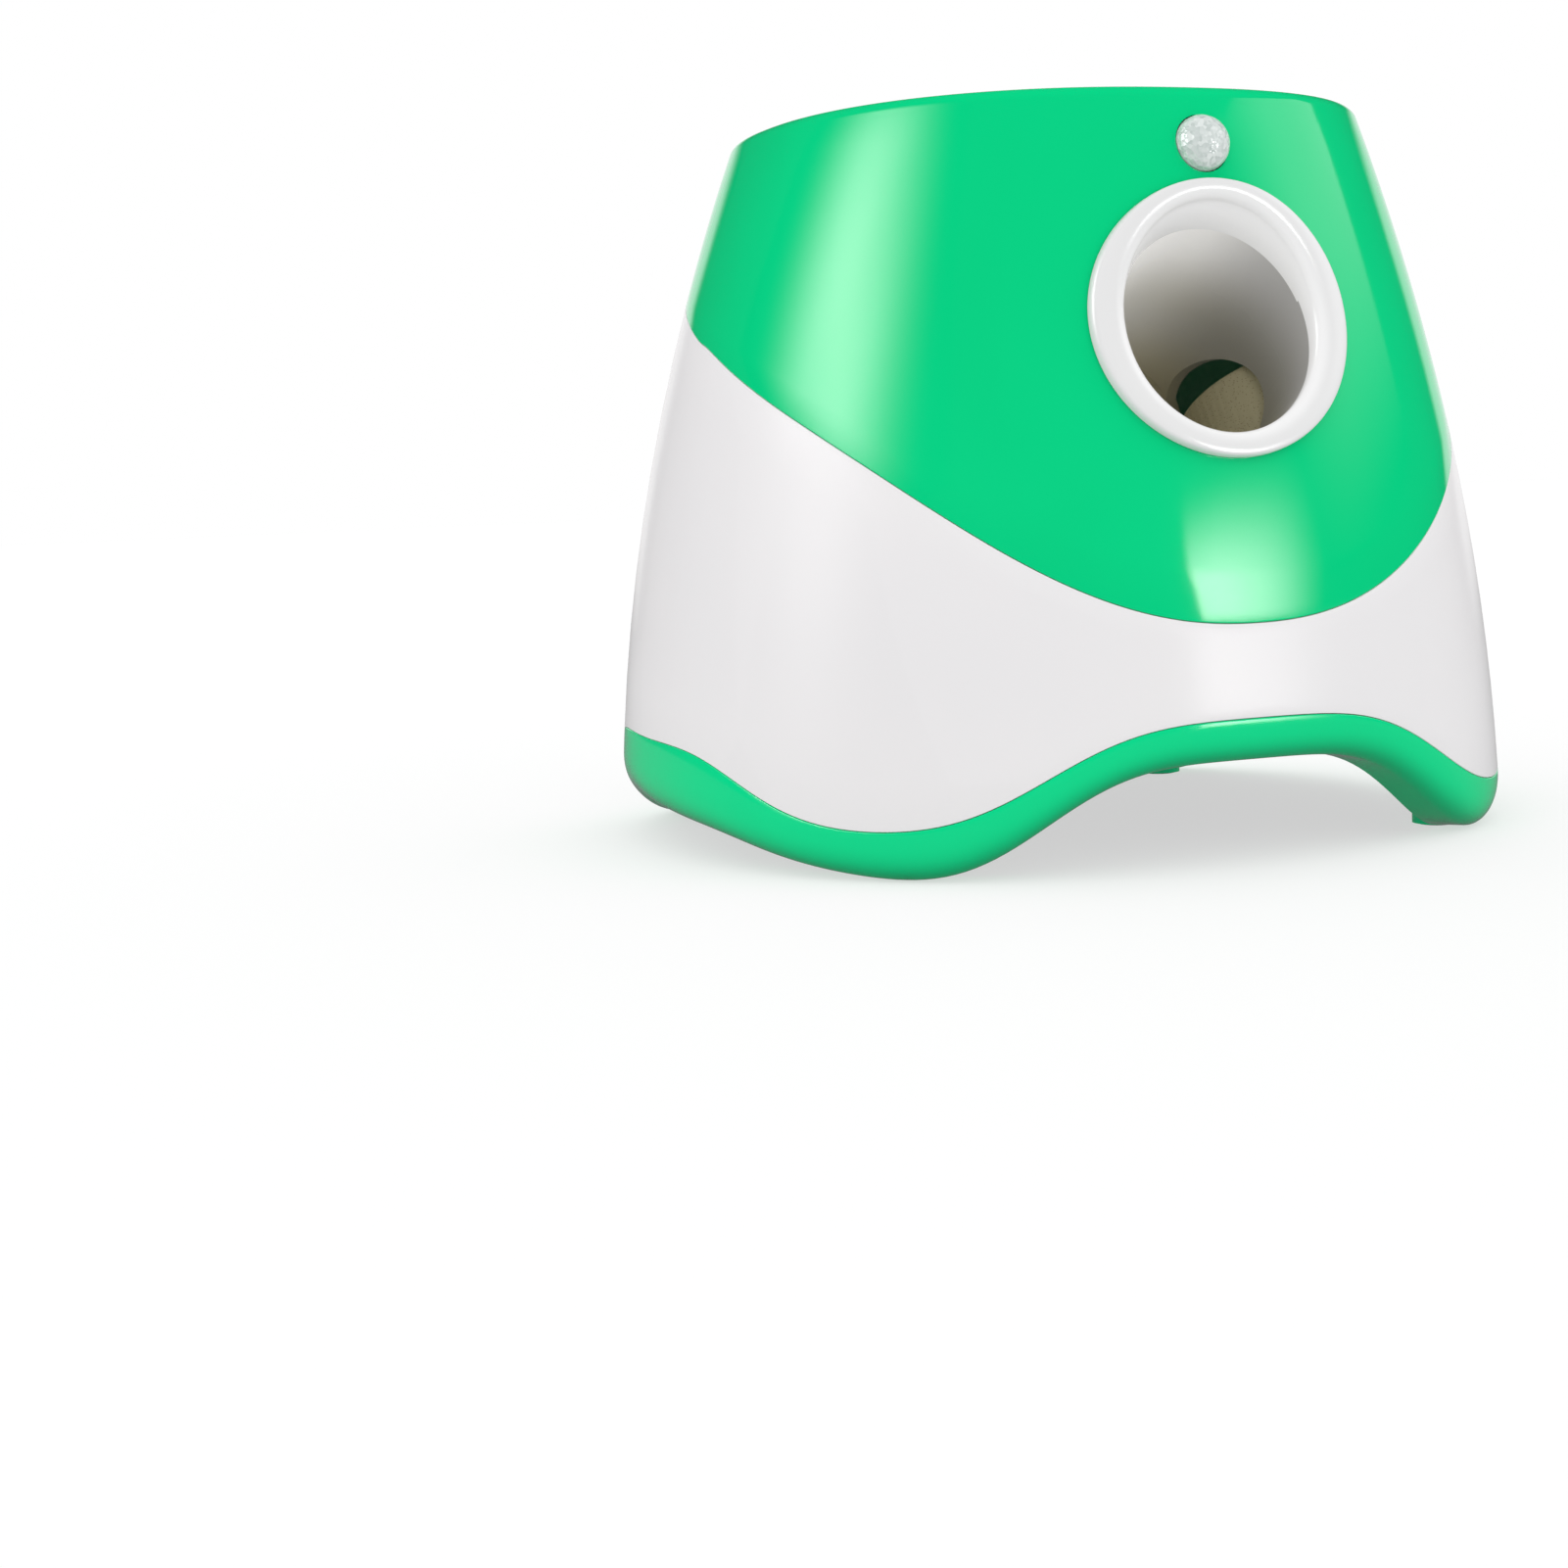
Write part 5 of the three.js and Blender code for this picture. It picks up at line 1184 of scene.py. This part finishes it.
def buildLaunchTube():
    s = launchTube
    gap = body["gap"]
    cap, wide = launch["capDepth"], 2 * launch["chuteOuter"]
    chuteEnd = dropReach + wide
    chuteAxis = alongY(0, -ballRest, tubeFrame)
    piece = tubeRod("launchTubeFine", launch["tube"], -cap + gap, -mouthRing["neckEnd"] - s["joint"])
    half = s["slotWidth"] / 2
    behind = blockMesh("behind", (-wide, wide), (-wide, wide), (-2 * cap, -cap + gap), tubeFrame)
    notch = blockMesh("notch", (-half, half), (-s["slotReach"], 0), (-cap, -cap + s["slotNotch"]), tubeFrame)
    steps = [
        ("UNION", buildChute(chuteEnd, chuteAxis)),
        ("DIFFERENCE", tubeRod("bore", launch["bore"], -cap - 3, 0)),
        ("DIFFERENCE", tubeRod("drop", launch["chute"], 0, chuteEnd, chuteAxis)),
        ("DIFFERENCE", behind),
        ("DIFFERENCE", notch),
    ]
    for side in (-1, 1):
        gateAt = alongX(s["gateReach"], -ballRest, tubeFrame)
        steps.append(("DIFFERENCE", wheelWindow(side)))
        steps.append(("DIFFERENCE", tubeRod("gate", s["gateHole"], *sorted((0, side * wide)), gateAt)))
    steps += kickerEar(-1) + kickerEar(1)
    shaftAt = alongX(-s["kickerReach"], -launch["pivotDepth"], tubeFrame)
    steps += [
        ("DIFFERENCE", tubeRod("boreAgain", launch["bore"], -cap - 3, 0)),
        ("DIFFERENCE", tubeRod("shaftRoom", s["shaftHole"], -wide, wide, shaftAt)),
        ("DIFFERENCE", tubeRod("capRoom", launch["tube"] + gap, -2 * cap, -cap + gap)),
    ]
    return smooth(combine(piece, steps), 30)


dress(buildLaunchTube(), materials["tube"], "housing", "tube_plastic", "launch_tube")
print("tube made")


# Wheels with a foam tyre, cut with fine flutes
tyre = {"thickness": 6.7, "edge": 1.7, "flutes": 72, "fluteDepth": 0.14, "steps": 4}


def buildTyre(side):
    s = tyre
    outer, half = launch["wheelRadius"], launch["wheelWidth"] / 2
    inner = outer - s["thickness"]
    at = tubeFrame @ Matrix.Translation((side * launch["wheelX"], 0, -launch["wheelDepth"]))
    at = at @ Matrix.Rotation(-math.pi / 2, 4, "X")
    count = s["flutes"] * s["steps"]
    profile = [(inner, -half), (outer - s["edge"], -half)]
    for turn in quarter(5)[1:]:
        profile.append((outer - s["edge"] * (1 - math.sin(turn)), -half + s["edge"] * (1 - math.cos(turn))))
    for turn in quarter(5):
        profile.append((outer - s["edge"] * (1 - math.cos(turn)), half - s["edge"] * (1 - math.sin(turn))))
    profile += [(outer - s["edge"], half), (inner, half)]
    loops = []
    for radius, height in profile:
        loop = []
        for i in range(count):
            a = 2 * math.pi * i / count
            dip = s["fluteDepth"] if i % s["steps"] == 0 and radius > outer - 0.5 else 0
            loop.append(at @ Vector(((radius - dip) * math.cos(a), (radius - dip) * math.sin(a), height)))
        loops.append(loop)
    return smooth(loft("tyreFine" + ("Left" if side < 0 else "Right"), loops, lift=False), 50)


for side, name in ((-1, "left"), (1, "right")):
    dress(buildTyre(side), materials["foam"], "flywheel_" + name, "tyre_rubber", "flywheel_tyre_" + name)
print("tyres made")


# Milky dome over the movement sensor, cut in small flat lens cells
sensorLens = {
    "radius": 7.6,
    "proud": 6,
    "flange": 1.5,
    "wall": 1,
    "foot": -5.2,
    "sides": 120,
    "arc": 36,
    "cellRings": 5,
    "cellSink": 1,
}


def lensCells(rings):
    centres = [Vector((0, 0, 1))]
    for ring in range(1, rings + 1):
        tilt = math.pi / 2 * ring / (rings + 0.5)
        wide, high = math.sin(tilt), math.cos(tilt)
        count = 6 * ring if ring < 4 else 18 + 2 * ring
        for k in range(count):
            a = 2 * math.pi * (k + ring / 2) / count
            centres.append(Vector((wide * math.cos(a), wide * math.sin(a), high)))
    return centres


def buildSensorLens():
    s = sensorLens
    centres = lensCells(s["cellRings"])
    edgeCos = math.cos(math.pi / 4 / (s["cellRings"] + 0.5))
    inner, outer = s["radius"] - s["wall"], s["radius"]
    foot, flange = s["foot"], s["flange"]

    def ring(radius, height):
        turns = [2 * math.pi * i / s["sides"] for i in range(s["sides"])]
        return [Vector((radius * math.cos(a), radius * math.sin(a), height)) for a in turns]

    loops = [ring(inner, foot), ring(outer + flange - 0.2, foot), ring(outer + flange, foot + 0.2)]
    loops += [ring(outer + flange, foot + flange - 0.2), ring(outer + flange - 0.2, foot + flange)]
    loops += [ring(outer, foot + flange), ring(outer, -0.2)]
    for k in range(1, s["arc"]):
        tilt = math.pi / 2 * (1 - k / s["arc"])
        loop = []
        for p in ring(math.sin(tilt), math.cos(tilt)):
            near = max(p.dot(c) for c in centres)
            dip = mix(1, min(1, edgeCos / near), s["cellSink"])
            loop.append(Vector((p.x * outer * dip, p.y * outer * dip, p.z * s["proud"] * dip)))
        loops.append(loop)
    tip = s["proud"] * mix(1, edgeCos, s["cellSink"])
    loops.append(ring(0.05, tip))
    loops.append(ring(0.05, s["proud"] - s["wall"]))
    for k in range(s["arc"] - 1, -1, -2):
        tilt = math.pi / 2 * (1 - k / s["arc"])
        loops.append(ring(inner * math.sin(tilt), (s["proud"] - s["wall"]) * math.cos(tilt)))
    loops = [[sensorFrame @ p for p in loop] for loop in loops]
    return smooth(loft("sensorLensFine", loops, lift=False), 1.2)


dress(buildSensorLens(), materials["lens"], "housing", "lens_plastic", "sensor_lens")
print("lens made")


# Nodes that keep the mesh of the solids: material, slot, width of the softened edge, names
cells = ["battery_cell_" + str(k) for k in range(1, 7)]
corners = ("front_right", "back_right", "back_left", "front_left")
nodeLooks = (
    ("hub", "hub_plastic", 0.5, ("flywheel_hub_left", "flywheel_hub_right")),
    ("motorCan", "motor_can", 0.4, ("flywheel_motor_left", "flywheel_motor_right", "kicker_motor")),
    ("steel", "steel", 0.2, ("motor_shaft_left", "motor_shaft_right", "kicker_shaft", "sensor_can")),
    ("steel", "steel", 0.15, ["door_pin"] + ["body_screw_" + corner for corner in corners]),
    ("tube", "tube_plastic", 0.4, ("breech_cap",)),
    ("darkPlastic", "dark_plastic", 0.5, ("kicker_arm",)),
    ("darkPlastic", "dark_plastic", 0.4, ("tube_mount", "base_plate", "battery_door", "control_panel")),
    ("darkPlastic", "dark_plastic", 0.3, ("ball_sensor_left", "ball_sensor_right", "speaker")),
    ("darkPlastic", "dark_plastic", 0.25, ("switch_housing",)),
    ("darkPlastic", "dark_plastic", 0.2, ("power_jack",)),
    ("darkPlastic", "dark_plastic", 0.1, ("button_switch",)),
    ("pale", "pale_plastic", 0.15, ("kicker_gear",)),
    ("pale", "pale_plastic", 0.4, ("distance_button",)),
    ("brass", "brass", 0.12, ("kicker_pinion",)),
    ("brass", "brass", 0.08, ("contact_left", "contact_right")),
    ("board", "circuit_board", 0.15, ("main_board",)),
    ("board", "circuit_board", 0.1, ("sensor_board", "panel_board")),
    ("rocker", "red_plastic", 0.3, ("rocker_switch",)),
    ("lightNear", "green_light", 0.15, ("led_near",)),
    ("lightMiddle", "amber_light", 0.15, ("led_middle",)),
    ("lightFar", "red_plastic", 0.15, ("led_far",)),
    ("rubber", "foot_rubber", 0.25, ["rubber_foot_" + corner for corner in corners]),
    ("cell", "cell_sleeve", 0.3, cells),
)


def softenEdges(piece, width):
    weld = piece.modifiers.new("weld", "WELD")
    weld.merge_threshold = 0.00001
    bevel = piece.modifiers.new("edges", "BEVEL")
    bevel.width = width * millimetre
    bevel.segments = 2
    bevel.limit_method = "ANGLE"
    bevel.angle_limit = math.radians(34)
    bevel.harden_normals = False
    bevel.use_clamp_overlap = True
    normals = piece.modifiers.new("normals", "WEIGHTED_NORMAL")
    normals.keep_sharp = True


kept = 0
for look, slotName, width, names in nodeLooks:
    for name in names:
        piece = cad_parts[name]
        piece.data.materials.clear()
        piece.data.materials.append(materials[look])
        softenEdges(piece, width)
        kept += 1
print("kept nodes dressed:", kept)


# White sweep that keeps a soft shadow
sweep = {
    "half": 6000,
    "tone": 0.34,
    "mirroredTone": 0.05,
    "seenGlow": 0.6,
    "bounceGlow": 0.48,
    "mirroredGlow": 0.2,
}


def buildFloor():
    material, tree, shader = newMaterial("sweepWhite")
    tree.nodes.remove(shader)
    plain = addNode(tree, "ShaderNodeBsdfDiffuse")
    glow = addNode(tree, "ShaderNodeEmission")
    glow.inputs["Color"].default_value = (1, 1, 1, 1)
    paths = addNode(tree, "ShaderNodeLightPath")
    tones = [(sweep[key],) * 3 + (1,) for key in ("tone", "mirroredTone")]
    tree.links.new(mixColour(tree, paths.outputs["Is Glossy Ray"], *tones), plain.inputs["Color"])
    rays = (
        ("Is Camera Ray", "seenGlow"),
        ("Is Diffuse Ray", "bounceGlow"),
        ("Is Glossy Ray", "mirroredGlow"),
    )
    seen, bounced, mirrored = [mathNode(tree, "MULTIPLY", paths.outputs[a], sweep[b]) for a, b in rays]
    level = mathNode(tree, "MAXIMUM", seen, mathNode(tree, "MAXIMUM", bounced, mirrored))
    tree.links.new(level, glow.inputs["Strength"])
    both = addNode(tree, "ShaderNodeAddShader")
    tree.links.new(plain.outputs[0], both.inputs[0])
    tree.links.new(glow.outputs[0], both.inputs[1])
    tree.links.new(both.outputs[0], tree.nodes["Material Output"].inputs["Surface"])
    half = sweep["half"]
    corners = [(-half, -half, 0), (half, -half, 0), (half, half, 0), (-half, half, 0)]
    floor = meshObject("floorSweep", corners, [(0, 1, 2, 3)], lift=False)
    floor.data.materials.append(material)


def buildWorld():
    world = bpy.data.worlds.new("studioWorld")
    world.use_nodes = True
    tree = world.node_tree
    sky = tree.nodes["Background"]
    sky.inputs["Color"].default_value = (1, 1, 1, 1)
    paths = addNode(tree, "ShaderNodeLightPath")
    shown = mathNode(tree, "MAXIMUM", paths.outputs["Is Camera Ray"], paths.outputs["Is Transmission Ray"])
    dim = mathNode(tree, "MULTIPLY", paths.outputs["Is Glossy Ray"], lighting["glossySky"])
    soft = mathNode(tree, "MULTIPLY", paths.outputs["Is Diffuse Ray"], lighting["diffuseSky"])
    level = mathNode(tree, "MAXIMUM", shown, mathNode(tree, "MAXIMUM", dim, soft))
    tree.links.new(level, sky.inputs["Strength"])
    bpy.context.scene.world = world


# Each softbox stands where the place named "seen" on the body mirrors it towards the camera.
# Its light is full round its peak and fades to nothing; a peak near one edge leaves that edge crisp.
# Peak and core are shares of the half size.
lighting = {
    "diffuseSky": 1.2,
    "glossySky": 0.03,
    "boxes": (
        {"name": "leftTall", "seen": (-0.087, -0.065, 0.153), "az": -94, "el": 26.5, "far": 1.5,
         "size": (2.3, 2.3), "peak": (0, 0), "core": (0.1, 0), "power": 1.9, "roll": -45, "level": 10.5},
        {"name": "rightBroad", "seen": (0.05, -0.091, 0.17), "az": 63, "el": 21, "far": 1.5,
         "size": (1.3, 0.85), "peak": (0.5, 0.4), "core": (0.3, 0.2), "power": 1, "roll": 8, "level": 1.75},
        {"name": "rightBack", "seen": (0.085, -0.08, 0.12), "az": 152, "el": 8, "far": 1.8,
         "size": (2.8, 0.9), "peak": (0, 0), "core": (0.8, 0.5), "power": 1, "roll": 0, "level": 1},
        {"name": "frontGlare", "seen": (-0.009, -0.1165, 0.068), "az": 35.3, "el": 8.3, "far": 1.6,
         "size": (0.79, 0.5), "peak": (-0.75, -0.25), "core": (0.06, 0.35), "power": 1.2, "roll": 0,
         "level": 16.5},
    ),
}


def softbox(settings):
    name = settings["name"]
    wide, high = [size / 2 for size in settings["size"]]
    material, tree, shader = newMaterial(name)
    tree.nodes.remove(shader)
    glow = addNode(tree, "ShaderNodeEmission")
    peakX, peakY = settings["peak"]
    reach = (wide * (1 + abs(peakX)), high * (1 + abs(peakY)), 1)
    peak = (wide * peakX, high * peakY, 0)
    fade = useGroup(tree, "panelFade", Peak=peak, Reach=reach, Core=(*settings["core"], 0),
                    Power=settings["power"])
    strength = mathNode(tree, "MULTIPLY", fade.outputs["Mask"], settings["level"])
    tree.links.new(strength, glow.inputs["Strength"])
    tree.links.new(glow.outputs[0], tree.nodes["Material Output"].inputs["Surface"])
    mesh = bpy.data.meshes.new(name)
    edges = ((-wide, -high, 0), (wide, -high, 0), (wide, high, 0), (-wide, high, 0))
    mesh.from_pydata(edges, [], [(0, 1, 2, 3)])
    mesh.materials.append(material)
    panel = bpy.data.objects.new(name, mesh)
    bpy.context.scene.collection.objects.link(panel)
    az, el = math.radians(settings["az"]), math.radians(settings["el"])
    out = Vector((math.sin(az) * math.cos(el), -math.cos(az) * math.cos(el), math.sin(el)))
    side = Vector((0, 0, 1)).cross(out).normalized()
    upward = out.cross(side)
    roll = math.radians(settings["roll"])
    across = side * math.cos(roll) + upward * math.sin(roll)
    spin = Matrix((across, out.cross(across), out)).transposed().to_4x4()
    panel.matrix_world = Matrix.Translation(Vector(settings["seen"]) + out * settings["far"]) @ spin
    for kind in ("camera", "diffuse", "transmission", "shadow"):
        setattr(panel, "visible_" + kind, False)


buildFloor()
buildWorld()
for settings in lighting["boxes"]:
    softbox(settings)
print("stage and lights made")


# Camera as the photograph was taken
view = {
    "place": (-0.36474, -0.69708, 0.10709),
    "look": (0.36619673, 0.92288496, -0.11909373),
    "roll": -0.0369,
    "lens": 59.11,
}


def buildCamera():
    camera = bpy.data.cameras.new("photoCamera")
    camera.lens = view["lens"]
    camera.sensor_width = 36
    camera.clip_start = 0.01
    camera.clip_end = 100
    holder = bpy.data.objects.new("photoCamera", camera)
    bpy.context.scene.collection.objects.link(holder)
    look = Vector(view["look"]).normalized()
    right = look.cross(Vector((0, 0, 1))).normalized()
    above = right.cross(look)
    roll = view["roll"]
    turnedRight = right * math.cos(roll) + above * math.sin(roll)
    turnedUp = above * math.cos(roll) - right * math.sin(roll)
    spin = Matrix((turnedRight, turnedUp, -look)).transposed().to_4x4()
    holder.matrix_world = Matrix.Translation(Vector(view["place"])) @ spin
    bpy.context.scene.camera = holder


buildCamera()
bpy.context.scene.view_settings.view_transform = "Standard"
print("camera set")

bpy.context.view_layer.update()
